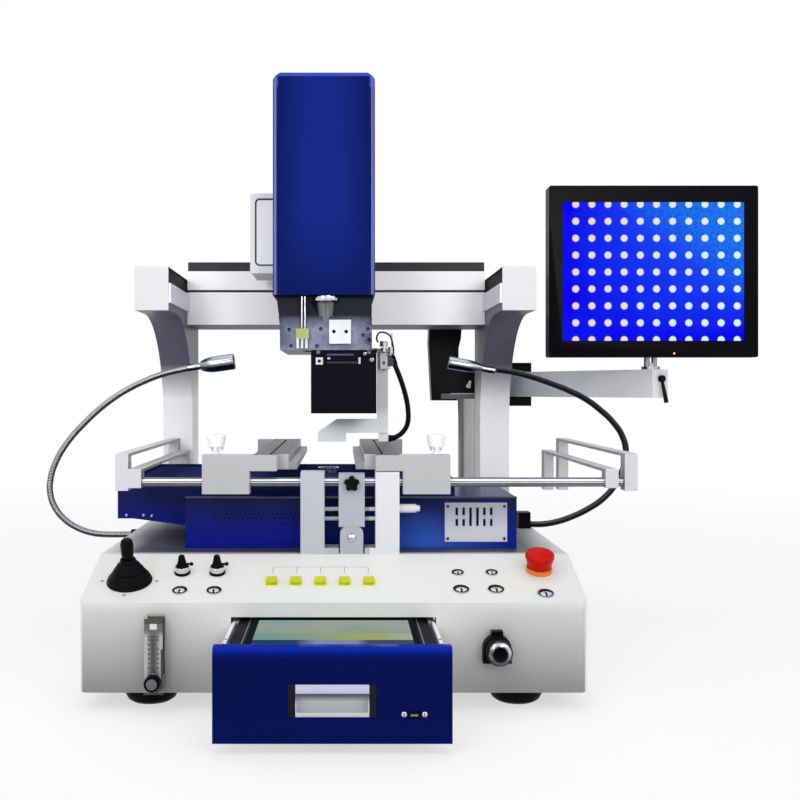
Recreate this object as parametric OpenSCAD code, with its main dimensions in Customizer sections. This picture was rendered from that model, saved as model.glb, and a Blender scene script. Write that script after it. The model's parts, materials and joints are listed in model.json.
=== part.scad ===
// Bench rework station: a console with a pull-out touch screen, a clamp table over a preheater,
// a gantry that carries the heating head, a swing-out monitor and two gooseneck lamps.
// Millimetres. X runs across the front, Y towards the back, Z up.
// The origin is the middle of the console's footprint on the bench.

/* [Console] */
// Width of the console
base_width = 685; // [640:5:760]
// Depth of the console
base_depth = 780; // [760:5:860]
// Height of the feet
foot_height = 24; // [18:1:32]
// Diameter of a foot where it meets the console
foot_diameter = 76; // [50:1:80]
// Distance of a foot's centre from the side of the console
foot_inset_x = 89; // [60:1:110]
// Distance of a foot's centre from the front and from the back
foot_inset_y = 55; // [45:1:80]
// Height of the upright front wall
front_height = 121; // [116:1:140]
// Rise of the sloped control panel
panel_rise = 45; // [36:1:56]
// Depth of the sloped control panel
panel_run = 127; // [122:1:140]
// Thickness of the console's sheet metal
sheet = 3; // [2:0.5:4]
// Radius of the console's upright corners
corner_radius = 12; // [8:1:18]

/* [Drawer] */
// Width of the drawer front
drawer_front_width = 284; // [270:1:300]
// Height of the drawer front
drawer_front_height = 113.5; // [108:0.5:115]
// Thickness of the drawer front
drawer_front_thickness = 18; // [12:1:24]
// Clearance under the drawer front
drawer_front_lift = 13; // [8:1:16]
// How far the drawer stands open
drawer_open = 152; // [60:1:170]
// Length of the drawer tray
tray_length = 322; // [280:1:360]
// Height of the drawer tray
tray_height = 60; // [40:1:70]
// Width of a runner bar
runner_width = 11; // [7:1:13]
// Width of the touch screen's glass
touch_width = 216; // [180:1:218]
// Depth of the touch screen's glass
touch_depth = 150; // [110:1:160]
// Width of the recessed pull's surround
pull_width = 105; // [90:1:130]
// Width of the pull's silver scoop
scoop_width = 85; // [60:1:89]
// Height of the recessed pull's surround
pull_height = 38.5; // [34:0.5:46]
// Depth of the recess in the pull
pull_depth = 14; // [8:1:16]

/* [Controls] */
// Radius of the joystick boot where it meets the panel
boot_radius = 30; // [26:1:34]
// Height of the joystick above the panel
joystick_height = 66; // [56:1:80]
// Radius of the joystick grip
grip_radius = 8.6; // [7:0.1:10]
// Spacing of the square buttons
square_button_pitch = 33.8; // [26:0.1:38]
// Width of a square button
square_button_width = 15; // [12:0.5:18]
// Radius of a large round button's ring
large_button_radius = 11; // [9:0.1:13]
// Radius of a middle-sized round button's ring
medium_button_radius = 10.3; // [8:0.1:12]
// Radius of a small round button's ring
small_button_radius = 8.4; // [7:0.1:11]
// Radius of the emergency stop's head
stop_radius = 20.6; // [18:0.1:22]
// Width of the flow meter
flow_width = 26; // [22:1:30]
// Height of the flow meter
flow_height = 102; // [90:1:112]
// Radius of the turns-counting knob
turns_radius = 17; // [14:0.5:19]

/* [Gantry] */
// Thickness of a gantry arm
arm_thickness = 57; // [48:1:62]
// Distance of the arms from the sides of the console
arm_inset = 3.5; // [0:0.5:8]
// Height of the arms above the console's deck
arm_height = 449; // [420:1:480]
// Height of an arm's nose
nose_height = 74; // [64:1:84]
// Distance of an arm's nose from the console's front
nose_start = 360; // [340:1:380]
// Distance of a column's back from the console's back
column_setback = 52; // [40:1:60]
// Depth of a column
column_depth = 83; // [70:1:85]
// Radius of the sweep under an arm
sweep_radius = 200; // [150:1:220]
// Width of a guide rail
rail_width = 4; // [3:0.5:8]
// Height of a guide rail
rail_height = 33; // [20:1:36]
// How far the cross beam stands out in front of the columns
beam_lead = 72; // [60:1:80]
// Height of the cross beam's underside above the deck
beam_clearance = 363; // [340:1:380]
// Height of the cross beam's lower box
beam_lower_height = 64; // [56:1:72]
// Height of the cross beam's upper box
beam_upper_height = 38; // [32:1:46]
// Height of the cover strip on the cross beam
beam_cap_height = 18; // [12:1:24]

/* [Head] */
// Width of the head's cover
head_width = 168; // [150:1:180]
// Height of the head's cover
head_height = 365; // [330:1:390]
// Depth of the head's cover
head_depth = 272; // [240:1:290]
// Height of the cover's lower edge above the deck
cover_clearance = 396; // [380:1:420]
// How far the carriage hangs below the cover
carriage_drop = 90; // [70:1:100]
// Offset of the head from the middle of the console, to the left
head_offset = 18.5; // [0:0.5:30]
// Wall of the head's cover
cover_wall = 2.5; // [1.5:0.5:4]
// Width of the optics box
optics_width = 108; // [90:1:112]
// Height of the optics box
optics_height = 104; // [80:1:108]
// Depth of the optics box
optics_depth = 105; // [90:1:115]
// Radius of the upper nozzle's barrel
nozzle_radius = 32; // [24:1:36]
// Diameter of the sensor hose
hose_diameter = 9; // [6:0.5:10]

/* [Clamp table] */
// Diameter of the guide rods
rod_diameter = 14; // [12:1:18]
// Height of the front rod above the deck
front_rod_height = 104; // [98:1:112]
// Height of the rear rod above the deck
rear_rod_height = 60; // [50:1:70]
// Distance of the rear rod from the columns
rear_rod_gap = 28; // [24:1:40]
// Width of an end frame
frame_width = 19; // [14:1:22]
// Height of the outer end frames' front block
outer_block_height = 55; // [48:1:62]
// Height of the inner end frames' front block
inner_block_height = 28; // [24:1:34]
// Thickness of an end frame's top bar
top_bar_thickness = 5; // [3:0.5:8]
// Height of the support posts
post_height = 120; // [117:1:120]
// Width of a support post
post_width = 35; // [28:1:36]
// Width of a jaw's bar
jaw_bar_width = 51; // [40:1:60]
// Width of the ledge that the board lies on
jaw_ledge_width = 13; // [8:1:18]
// Height of the ledge above the deck
jaw_ledge_height = 132; // [130:1:134]
// Height of the jaws above the deck
jaw_height = 145; // [143:1:150]
// Gap between the jaws' bars at rest
board_gap = 114; // [100:1:130]
// Width of a jaw's front block
jaw_block_width = 70; // [60:1:74]
// Radius of a jaw's thumb knob
thumb_radius = 14; // [10:1:16]

/* [Heater] */
// Width of the heater box
heater_width = 505; // [460:1:520]
// Height of the heater box
heater_height = 77; // [64:1:84]
// Distance of the heater box from the console's front
heater_start = 188; // [184:1:200]
// Gap between the heater box and the rear rod
heater_rear_gap = 77; // [60:1:110]
// Width of the preheater tray
preheater_width = 534; // [500:1:545]
// Distance of the preheater tray from the console's front
preheater_start = 250; // [240:1:280]
// Gap between the preheater tray and the rear rod
preheater_rear_gap = 41; // [30:1:80]
// Width of the vent panel
vent_width = 95; // [80:1:110]
// Height of the vent panel
vent_height = 59.5; // [48:0.5:64]
// Number of slots in the vent panel
vent_slots = 6; // [4:1:8]

/* [Monitor] */
// Width of the monitor
monitor_width = 356; // [330:1:370]
// Height of the monitor
monitor_height = 292; // [270:1:310]
// Thickness of the monitor's bezel
monitor_thickness = 30; // [22:1:32]
// Width of the picture
picture_width = 301; // [290:1:315]
// Height of the picture
picture_height = 228; // [215:1:240]
// Height of the monitor's lower edge above the deck
monitor_clearance = 296; // [286:1:320]
// Height of the swing arm above the deck
swing_clearance = 226.5; // [216:0.5:232]
// Height of the swing arm's tube
swing_tube_height = 50; // [40:1:54]
// Width of the swing arm's tube
swing_tube_width = 40; // [30:1:44]

/* [Lamps] */
// Diameter of a gooseneck
neck_diameter = 11; // [8:0.5:13]
// Length of a lamp's head
lamp_length = 60; // [45:1:70]
// Radius of a lamp's rim
lamp_radius = 14.5; // [11:0.5:17]

/* [Hidden] */
$fn = 64;

// Clearances
running = 0.05;
gap = 0.4;
slide_gap = 0.3;

// Console
base_z = foot_height;
nose_z = base_z + front_height;
deck_z = nose_z + panel_rise;
panel_angle = atan(panel_rise / panel_run);
half_width = base_width / 2;

// Drawer
opening_lap = 4;
opening_width = drawer_front_width - 2 * opening_lap;
drawer_top = drawer_front_lift + drawer_front_height;
opening_top = drawer_top - 1;
tray_top = opening_top - 6;
tray_width = opening_width - 2 * runner_width - 22;
runner_height = 14;
runner_outer = tray_width / 2 + runner_width;
guide_wall = 4;
touch_thickness = 4;
tray_wall = 3;
pull_wall = 2;
pull_z = drawer_front_lift + 0.448 * drawer_front_height;
pull_strip = 8.5;
scoop_radius = pull_depth - 1;
usb_x = 97;
usb_screw_spread = 12;
usb_z = drawer_front_lift + 34;
usb_width = 13;
usb_height = 5;

// Panel positions, across and up the slope
joystick_at = [-285, 57];
dimmer_at = [[-214.5, 80], [-165, 80]];
stop_at = [291, 86];
square_row_x = -19;
square_row_s = 52;
round_at = [[-211, 30], [-164, 30], [175, 79], [223, 79], [175, 33], [223, 33], [289, 22]];
round_radius = [medium_button_radius, medium_button_radius, small_button_radius, small_button_radius,
    large_button_radius, large_button_radius, large_button_radius];
ring_height = 2.2;
ring_lip = 2.4;
button_depth = 9;
hub_depth = 14;
gimbal_radius = 14;
pivot_pin_radius = 1.5;
boot_wall = 2;
boot_height = 34;
boot_top_radius = 10;
dimmer_washer_radius = 11.2;
dimmer_washer_height = 3;
dimmer_ring_radius = 10.3;
dimmer_ring_height = 8;
dimmer_height = 25;
stem_radius = 3;
stop_collar_height = 3.6;
stop_collar_radius = 18.3;
stop_collar_wall = 1.3;
stop_skirt_radius = stop_collar_radius - stop_collar_wall - 0.6;
stop_head_low = 8;
stop_head_top = 29;
plunger_radius = 8;
stop_travel = 4;

air_inlet_x = -215;
air_inlet_radius = 4;

// Front wall fittings
flow_x = -238;
flow_z = base_z + 4;
flow_depth = 24;
flow_bore_radius = 3.5;
flow_knob_x = flow_x;
flow_knob_z = flow_z + 16.7;
flow_knob_radius = 10.5;
turns_x = 218.5;
turns_z = base_z + 61;
turns_base_radius = turns_radius + 2;
turns_base_depth = 12;
turns_tab_width = 15;
turns_knob_depth = 21;

// Gantry
arm_outer = half_width - arm_inset;
arm_inner = arm_outer - arm_thickness;
arm_wall = 6;
arm_top = deck_z + arm_height;
nose_bottom = arm_top - nose_height;
column_start = base_depth - column_setback - column_depth;
rail_z = nose_bottom + 13;
groove_depth = 3;
beam_start = column_start - beam_lead;
beam_z = deck_z + beam_clearance;
beam_end = arm_inner - 0.5;
beam_depth = column_start + column_depth - beam_start;
beam_seam_z = beam_z + beam_lower_height;
seam_height = 4;
seam_depth = 14;
beam_top_z = beam_seam_z + beam_upper_height;
beam_wall = 6;
cap_setback = 8;

// Head
head_back = beam_start - slide_gap;
head_front = head_back - head_depth;
cover_bottom = deck_z + cover_clearance;
cover_top = cover_bottom + head_height;
head_left = -head_offset - head_width / 2;
head_right = -head_offset + head_width / 2;
cover_chamfer = 12;
cover_back_wall = 14;
carriage_bottom = cover_bottom - carriage_drop;
carriage_plate_height = 55;
carriage_front = head_front + 12;
carriage_back = head_back - cover_back_wall - slide_gap;
nozzle_y = head_front + 68;
nozzle_stem_radius = 12;
optics_top = carriage_bottom - slide_gap;
optics_left = -40;
crank_y = head_front + 150;
crank_thickness = 6;
crank_left = head_right + 7.7;
crank_width = 19.5;
crank_arm_z = carriage_bottom - 142;
crank_foot_z = jaw_height + deck_z + 3.5;
crank_foot_left = -31.5;
crank_foot_right = 18;
side_box_width = 45;
side_box_depth = 120;
side_box_height = 138;

// Clamp table
rod_radius = rod_diameter / 2;
front_rod_y = 146;
front_rod_z = deck_z + front_rod_height;
rear_rod_y = column_start - rear_rod_gap;
rear_rod_z = deck_z + rear_rod_height;
block_depth = 25;
table_shift = 62;
table_span = 769;
table_left = table_shift - table_span / 2;
table_right = table_shift + table_span / 2;
inner_left_x = table_left + frame_width;
inner_right_x = table_right - 2 * frame_width - 9;
outer_block_top = front_rod_z + 43;
inner_block_top = front_rod_z + 20;
supports_x = 23;
support_spread = 110;
rear_spread = 43;
support_depth = 38;
support_front = front_rod_y - support_depth / 2;
lock_width = 38;
lock_x = supports_x + 2.5;
jaw_mid = -12;
jaw_top = deck_z + jaw_height;
jaw_ledge_z = deck_z + jaw_ledge_height;
jaw_bar_bottom = deck_z + post_height + 1;
jaw_bar_start = support_front + support_depth + 1;
jaw_plate_bottom = deck_z + post_height + 1;
jaw_block_bottom = front_rod_z - 17;
jaw_block_start = 56;
jaw_slot_width = 3;
thumb_offset = 106;
star_radius = 11.5;

// Heater
heater_x = 25;
heater_depth = rear_rod_y - heater_rear_gap - heater_start;
preheater_depth = rear_rod_y - preheater_rear_gap - preheater_start;
preheater_left = -344;
preheater_top = deck_z + 100;
preheater_bottom = deck_z + 25;
lower_nozzle_y = 400;
vent_x = heater_x + heater_width / 2 - 62.3;

// Monitor
pivot_x = half_width + 30.5;
pivot_y = base_depth - 35;
post_x = pivot_x + 185;
post_y = pivot_y - 297;
monitor_x = post_x - 17;
monitor_front = post_y - 76;
monitor_z = deck_z + monitor_clearance;
swing_length = norm([post_x - pivot_x, post_y - pivot_y]);
swing_angle = atan2(post_y - pivot_y, post_x - pivot_x);
swing_z = deck_z + swing_clearance;
swing_overhang = 22;
lever_z = swing_z + 33.5;
boss_radius = 22;
pin_radius = 8;
tilt_z = monitor_z + monitor_height / 2;
monitor_back = monitor_front + monitor_thickness + 16;
bracket_height = swing_tube_height + 38;
bracket_z = swing_z + swing_tube_height / 2 - bracket_height / 2;

// Lamps
neck_radius = neck_diameter / 2;
left_neck_y = 392;
right_neck_y = 420;
left_split = [-half_width - 89.5, left_neck_y, deck_z + 183];
right_split = [half_width + 164.5, right_neck_y, deck_z + 132];
left_lower_route = [[0.5, -8], [20, -8], [46, -8], [72, -6], [98, 2], [122, 17],
    [140, 38], [149, 61], [149, 86], [138, 118], [117, 152], [89.5, 183]];
left_upper_route = [[89.5, 183], [64, 207], [38, 227], [12, 243], [-15, 256], [-41, 266],
    [-68, 273], [-102, 280]];
right_lower_route = [[-4.5, 6], [18, 6], [43, 10], [70, 19], [99, 33], [125, 51],
    [145, 74], [159, 102], [164.5, 132]];
right_upper_route = [[164.5, 132], [158, 160], [142, 184], [119, 206], [93, 225], [63, 240],
    [30, 253], [-7, 265], [-42, 273], [-86, 278]];
lamp_tilt_left = 8;
lamp_tilt_right = 10;

// Sensor hose, from its clamp in front of the crank plate to its fitting behind the plate,
// across from the crank and up from the carriage
hose_front = crank_y - 6;
hose_back = crank_y + 13;
hose_route = [[25, -6], [28, -12], [32, -22], [38, -37], [44, -53], [49, -69], [53, -85], [55.4, -101],
    [56, -115], [54.6, -126], [50.8, -135], [45, -142.4], [37.6, -148], [29, -151.6], [18, -152.8]];
hose_path = [for (i = [0 : len(hose_route) - 1]) let (t = i / (len(hose_route) - 1), k = t * t * (3 - 2 * t))
    [crank_left + hose_route[i][0], hose_front + k * (hose_back - hose_front), carriage_bottom + hose_route[i][1]]];

// Everything is measured from the console's front wall
module from_front() {
    translate([0, -base_depth / 2, 0]) children();
}

module box(low, high) {
    translate(low) cube(high - low);
}

module on_panel(at) {
    translate([at[0], at[1] * cos(panel_angle), nose_z + at[1] * sin(panel_angle)])
        rotate([panel_angle, 0, 0]) children();
}

// An outline in Y and Z, drawn out along X from x0 to x1
module along_x(x0, x1) {
    translate([x0, 0, 0]) rotate([90, 0, 90]) linear_extrude(x1 - x0) children();
}

// An outline in X and Z, drawn out along Y from y0 to y1
module along_y(y0, y1) {
    translate([0, y1, 0]) rotate([90, 0, 0]) linear_extrude(y1 - y0) children();
}

module rounded_plate(w, h, r) {
    hull() for (sx = [-1, 1], sy = [-1, 1]) translate([sx * (w / 2 - r), sy * (h / 2 - r)]) circle(r);
}

// A rectangle with round corners, as exact arcs
module round_rect(x0, y0, x1, y1, r) {
    union() {
        translate([x0 + r, y0]) square([x1 - x0 - 2 * r, y1 - y0]);
        translate([x0, y0 + r]) square([x1 - x0, y1 - y0 - 2 * r]);
        for (x = [x0 + r, x1 - r], y = [y0 + r, y1 - r]) translate([x, y]) circle(r);
    }
}

// A neck's route, from its offsets outwards from the console's side and up from the deck
function neck_route(points, y, side) = [for (p = points) [side * (half_width + p[0]), y, deck_z + p[1]]];
function heading(path, i) =
    let (a = path[max(i - 1, 0)], b = path[min(i + 1, len(path) - 1)]) (b - a) / norm(b - a);
function side_of(h) = let (s = cross([0, 1, 0], h)) s / norm(s);

module tube_along(path, r, sides) {
    n = len(path);
    rings = [for (i = [0 : n - 1]) let (h = heading(path, i), s = side_of(h), u = cross(h, s))
        for (k = [0 : sides - 1]) path[i] + r * (cos(360 * k / sides) * s + sin(360 * k / sides) * u)];
    walls = [for (i = [0 : n - 2], k = [0 : sides - 1]) let (m = (k + 1) % sides)
        [i * sides + k, i * sides + m, (i + 1) * sides + m, (i + 1) * sides + k]];
    ends = [[for (k = [sides - 1 : -1 : 0]) k], [for (k = [0 : sides - 1]) (n - 1) * sides + k]];
    polyhedron(points = rings, faces = concat([for (f = walls) [f[3], f[2], f[1], f[0]]],
        [for (f = ends) [for (i = [len(f) - 1 : -1 : 0]) f[i]]]), convexity = 6);
}

// Console

module console_outline(t) {
    slant = t / cos(panel_angle);
    polygon([
        [t, base_z - t], [t, nose_z + t * tan(panel_angle) - slant],
        [(panel_rise - t + slant) / tan(panel_angle), deck_z - t],
        [base_depth - t, deck_z - t], [base_depth - t, base_z - t]
    ]);
}

module console_block(t, floor_z) {
    intersection() {
        along_x(-half_width + t, half_width - t) console_outline(t);
        translate([0, 0, floor_z]) linear_extrude(deck_z)
            round_rect(-half_width + t, t, half_width - t, base_depth - t, corner_radius - t);
    }
}

module base_housing() {
    color("whitesmoke") from_front() difference() {
        console_block(0, base_z);
        console_block(sheet, base_z - sheet);
        box([-opening_width / 2, -1, base_z - 1], [opening_width / 2, sheet + corner_radius, opening_top]);
        on_panel(joystick_at) cylinder(r = gimbal_radius + 4, h = 4 * sheet, center = true);
        for (at = dimmer_at) on_panel(at) cylinder(r = stem_radius + running, h = 4 * sheet, center = true);
        for (i = [0 : len(round_at) - 1])
            on_panel(round_at[i]) cylinder(r = round_radius[i] - ring_lip, h = 4 * sheet, center = true);
        for (i = [0 : 4]) on_panel([square_x(i), square_row_s])
            cube([square_button_width - 2, square_button_width - 2, 4 * sheet], center = true);
        on_panel(stop_at) cylinder(r = plunger_radius + gap, h = 4 * sheet, center = true);
        rear_vents();
        box([-300, base_depth - sheet - 1, base_z + 40], [-252, base_depth + 1, base_z + 68]);
    }
}

vent_pitch = 14;
vent_rows = 7;
module rear_vents() {
    for (side = [-1, 1], i = [0 : vent_rows - 1])
        box([side * 150 - 60, base_depth - sheet - 1, base_z + 34 + i * vent_pitch],
            [side * 150 + 60, base_depth + 1, base_z + 39 + i * vent_pitch]);
}

module base_pan() {
    inner = half_width - sheet;
    ledge_top = tray_top - runner_height - slide_gap;
    color("lightgray") from_front() {
        difference() {
            translate([0, 0, base_z]) linear_extrude(sheet)
                round_rect(-inner, sheet, inner, base_depth - sheet, corner_radius - sheet);
            for (i = [0 : 9]) box([-180 + i * 38, 430, base_z - 1], [-166 + i * 38, 560, base_z + sheet + 1]);
        }
        for (side = [-1, 1]) scale([side, 1, 1]) {
            box([runner_outer + slide_gap, sheet, base_z + sheet],
                [runner_outer + slide_gap + guide_wall, tray_length - drawer_open + 90, tray_top]);
            box([tray_width / 2 + slide_gap, sheet, ledge_top - guide_wall],
                [runner_outer + slide_gap, tray_length - drawer_open + 90, ledge_top]);
        }
    }
}

module feet() {
    r = foot_diameter / 2;
    color("black") from_front()
        for (x = [-half_width + foot_inset_x, half_width - foot_inset_x],
            y = [foot_inset_y, base_depth - foot_inset_y])
            translate([x, y, 0]) rotate_extrude()
                polygon([[0, 0], [r - 11, 0], [r - 5, 4], [r - 1.5, 11], [r, foot_height - 4],
                    [r, foot_height], [0, foot_height]]);
}

// Drawer

module drawer_tray() {
    back = tray_length - drawer_open;
    half = tray_width / 2;
    color("dimgray") from_front() {
        difference() {
            box([-half, -drawer_open, tray_top - tray_height], [half, back, tray_top]);
            box([-half + tray_wall, -drawer_open + tray_wall, tray_top - tray_height - 1],
                [half - tray_wall, back - tray_wall, tray_top - 2 * tray_wall]);
            touch_block(0, gap);
        }
        for (side = [-1, 1]) scale([side, 1, 1])
            box([half, -drawer_open, tray_top - runner_height], [half + runner_width, back, tray_top]);
    }
}

module touch_block(lower, margin) {
    front = -drawer_open + 12;
    box([-touch_width / 2 - margin, front - margin, tray_top - touch_thickness - lower],
        [touch_width / 2 + margin, front + touch_depth + margin, tray_top + 1 - lower]);
}

module touch_screen() {
    front = -drawer_open + 12;
    color("slategray") from_front()
        box([-touch_width / 2, front, tray_top - touch_thickness],
            [touch_width / 2, front + touch_depth, tray_top + 0.5]);
}

module drawer_front() {
    back = -drawer_open;
    front = back - drawer_front_thickness;
    half = drawer_front_width / 2;
    lip = 8;
    color("navy") from_front() difference() {
        along_x(-half, half) union() {
            translate([front, drawer_front_lift]) square([drawer_front_thickness, drawer_front_height - lip]);
            translate([front + lip, drawer_top - lip]) square([drawer_front_thickness - lip, lip]);
            translate([front + lip, drawer_top - lip]) circle(lip);
        }
        box([-pull_width / 2, front - 1, pull_z - pull_height / 2], [pull_width / 2, back + 1, pull_z + pull_height / 2]);
        box([usb_x - usb_width / 2, front - 1, usb_z - usb_height / 2],
            [usb_x + usb_width / 2, front + 9, usb_z + usb_height / 2]);
    }
}

module drawer_pull() {
    front = -drawer_open - drawer_front_thickness;
    half = pull_width / 2;
    scoop = scoop_width / 2;
    low = pull_z - pull_height / 2;
    high = pull_z + pull_height / 2 - 2;
    roof = high - pull_strip;
    color("silver") from_front() difference() {
        union() {
            box([-half, front, low], [half, front + pull_depth + pull_wall, low + pull_height]);
            box([-scoop - 1.5, front - 1.5, low + 1], [scoop + 1.5, front + 1, high]);
        }
        along_x(-scoop, scoop) translate([front + 1, roof - scoop_radius + 1]) {
            circle(scoop_radius);
            translate([-scoop_radius, 0]) square([2 * scoop_radius, scoop_radius - 1]);
        }
    }
}

// Controls

function square_x(i) = square_row_x + (i - 2) * square_button_pitch;

module ring(outer, inner, h) {
    difference() {
        cylinder(r = outer, h = h);
        translate([0, 0, -1]) cylinder(r = inner, h = h + 2);
    }
}

module panel_fittings() {
    color("gainsboro") from_front() {
        for (i = [0 : len(round_at) - 1])
            on_panel(round_at[i]) ring(round_radius[i], round_radius[i] - ring_lip, ring_height);
        for (i = [0 : 4]) on_panel([square_x(i), square_row_s]) difference() {
            translate([0, 0, 0.6]) cube([square_button_width + 3, square_button_width + 3, 1.2], center = true);
            cube([square_button_width - 2, square_button_width - 2, 4], center = true);
        }
        for (at = dimmer_at) on_panel(at) ring(dimmer_washer_radius, stem_radius + running, dimmer_washer_height);
        on_panel(joystick_at) gimbal_socket();
        on_panel(stop_at) {
            ring(stop_collar_radius, plunger_radius + gap, 0.8);
            ring(stop_collar_radius, stop_collar_radius - stop_collar_wall, stop_collar_height);
        }
        turns_base();
        power_inlet();
        translate([air_inlet_x, base_depth, base_z + 54]) rotate([-90, 0, 0]) {
            cylinder(r = 9, h = 3);
            cylinder(r = air_inlet_radius, h = 19);
        }
        neck_glands();
    }
}

module gimbal_socket() {
    difference() {
        translate([0, 0, -6]) ring(gimbal_radius + 4, gimbal_radius + 1.6, 7.5);
        rotate([0, 90, 0]) cylinder(r = pivot_pin_radius + running, h = 2 * gimbal_radius + 20, center = true);
    }
    ring(boot_radius, gimbal_radius + 4, 1.5);
}

// A base with a round top, a square bottom and a tab for the lock
module turns_base() {
    r = turns_base_radius;
    translate([turns_x, 0, turns_z]) rotate([90, 0, 0]) difference() {
        linear_extrude(turns_base_depth) union() {
            circle(r);
            translate([-r, -r]) square([2 * r, r]);
            translate([-turns_tab_width / 2, r - 3]) square([turns_tab_width, 8]);
        }
        translate([0, 0, 2]) cylinder(r = stem_radius + running, h = turns_base_depth);
    }
}

module power_inlet() {
    difference() {
        box([-300, base_depth - 26, base_z + 40], [-252, base_depth + 3, base_z + 68]);
        box([-289, base_depth - 16, base_z + 46], [-263, base_depth + 4, base_z + 62]);
    }
}

module neck_glands() {
    translate([-half_width - 8, left_neck_y, 182]) rotate([0, 90, 0])
        ring(neck_radius + 3.5, neck_radius, 8);
    difference() {
        box([half_width - 25, right_neck_y - 14, deck_z], [half_width - 4.5, right_neck_y + 14, deck_z + 28]);
        translate([half_width - 10, right_neck_y, deck_z + 3]) rotate([0, 90, 0])
            cylinder(r = neck_radius - 3, h = 8);
    }
}

module joystick_boot() {
    r = boot_radius;
    color("black") from_front() on_panel(joystick_at) translate([0, 0, 1.5]) rotate_extrude()
        polygon([
            [r - 6, 0], [r - 1, 0], [r - 0.5, 4], [r - 3, 9], [r - 6, 13], [r - 9, 18], [r - 13, 24], [r - 17, 29],
            [boot_top_radius, boot_height - 2], [boot_top_radius - 1, boot_height],
            [5.2, boot_height], [5.2, boot_height - boot_wall],
            [r - 19, 28], [r - 15, 22.5], [r - 11.5, 17], [r - 8.5, 12], [r - 6, 8]
        ]);
}

module joystick_gimbal() {
    color("silver") from_front() on_panel(joystick_at) {
        difference() {
            union() {
                translate([0, 0, -3]) cylinder(r = gimbal_radius, h = 6);
                rotate([0, 90, 0]) cylinder(r = pivot_pin_radius, h = 2 * gimbal_radius + 6, center = true);
            }
            translate([0, 0, -4]) cylinder(r = gimbal_radius - 4, h = 8);
            rotate([90, 0, 0]) cylinder(r = pivot_pin_radius + running, h = 2 * gimbal_radius + 2, center = true);
        }
    }
}

module joystick_lever() {
    top = joystick_height;
    g = grip_radius;
    color("black") from_front() on_panel(joystick_at) {
        rotate_extrude() polygon([
            [0, -hub_depth], [5, -hub_depth], [7.5, -5], [7.5, 4], [4, 8], [4, boot_height + 3],
            [g - 1.2, boot_height + 3], [g, boot_height + 8], [g + 0.4, top - 8], [g - 1, top - 3],
            [g - 3.5, top - 0.5], [0, top]
        ]);
        rotate([90, 0, 0]) cylinder(r = pivot_pin_radius, h = 2 * gimbal_radius - 2, center = true);
    }
}

module dimmer(i) {
    color("black") from_front() on_panel(dimmer_at[i]) translate([0, 0, dimmer_washer_height + slide_gap]) {
        rotate_extrude() polygon([
            [0, -12], [stem_radius, -12], [stem_radius, 0], [dimmer_ring_radius - 0.5, 0],
            [dimmer_ring_radius, 1], [dimmer_ring_radius, dimmer_ring_height - 1],
            [dimmer_ring_radius - 1, dimmer_ring_height], [8.2, dimmer_ring_height], [6.6, 12], [5.4, 17],
            [4.4, dimmer_height - 2.5], [3.4, dimmer_height - 0.7], [0, dimmer_height]
        ]);
        translate([0, 0, 11]) rotate([0, 90, 0]) cylinder(r = 1.5, h = 13.5);
        translate([13.5, 0, 11]) sphere(r = 2.8);
    }
}

module left_dimmer() { dimmer(0); }
module right_dimmer() { dimmer(1); }

module square_button(i) {
    w = square_button_width;
    color("yellowgreen") from_front() on_panel([square_x(i), square_row_s]) {
        translate([0, 0, 4]) linear_extrude(2.5) round_rect(-w / 2, -w / 2, w / 2, w / 2, 1.5);
        translate([0, 0, -6]) linear_extrude(10.1) square(w - 3.4, center = true);
    }
}

module round_button(i) {
    r = round_radius[i] - ring_lip - gap;
    color("silver") from_front() on_panel(round_at[i]) translate([0, 0, -button_depth]) rotate_extrude()
        polygon([[0, 0], [r, 0], [r, button_depth + 2.6], [r - 0.8, button_depth + 3.4],
            [r - 2, button_depth + 3], [0, button_depth + 2.8]]);
}

module square_button_1() { square_button(0); }
module square_button_2() { square_button(1); }
module square_button_3() { square_button(2); }
module square_button_4() { square_button(3); }
module square_button_5() { square_button(4); }
module round_button_1() { round_button(0); }
module round_button_2() { round_button(1); }
module round_button_3() { round_button(2); }
module round_button_4() { round_button(3); }
module round_button_5() { round_button(4); }
module round_button_6() { round_button(5); }
module round_button_7() { round_button(6); }

module stop_plunger() {
    color("gray") from_front() on_panel(stop_at)
        translate([0, 0, -16]) cylinder(r = plunger_radius, h = 16 + stop_collar_height + 14);
}

module stop_head() {
    r = stop_radius;
    skirt = stop_skirt_radius;
    low = stop_head_low;
    top = stop_head_top;
    color("red") from_front() on_panel(stop_at) difference() {
        rotate_extrude() polygon([
            [0, low], [skirt, low], [skirt, low + 4], [skirt + 2, low + 8], [r - 0.2, low + 13.5], [r, low + 16],
            [r - 0.8, top - 2], [r - 3.1, top - 0.5], [0, top]
        ]);
        cylinder(r = plunger_radius + running, h = stop_collar_height + 14 + 0.2);
    }
}

module flow_meter() {
    half = flow_width / 2;
    tube_bottom = flow_z + 26;
    color("gainsboro") from_front() difference() {
        translate([0, 0, flow_z]) linear_extrude(flow_height)
            round_rect(flow_x - half, -flow_depth, flow_x + half, 0, 2.5);
        translate([flow_x, -flow_depth / 2, tube_bottom]) cylinder(r = flow_bore_radius, h = flow_height - 38);
        translate([flow_knob_x, -flow_depth + 10, flow_knob_z]) rotate([90, 0, 0])
            cylinder(r = stem_radius + running, h = 12);
    }
}

module flow_float() {
    r = flow_bore_radius - 0.35;
    color("black") from_front() translate([flow_x, -flow_depth / 2, flow_z + 26.1]) rotate_extrude()
        polygon([[0, 0], [1.2, 0], [r, 5], [r, 7], [0, 7]]);
}

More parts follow.
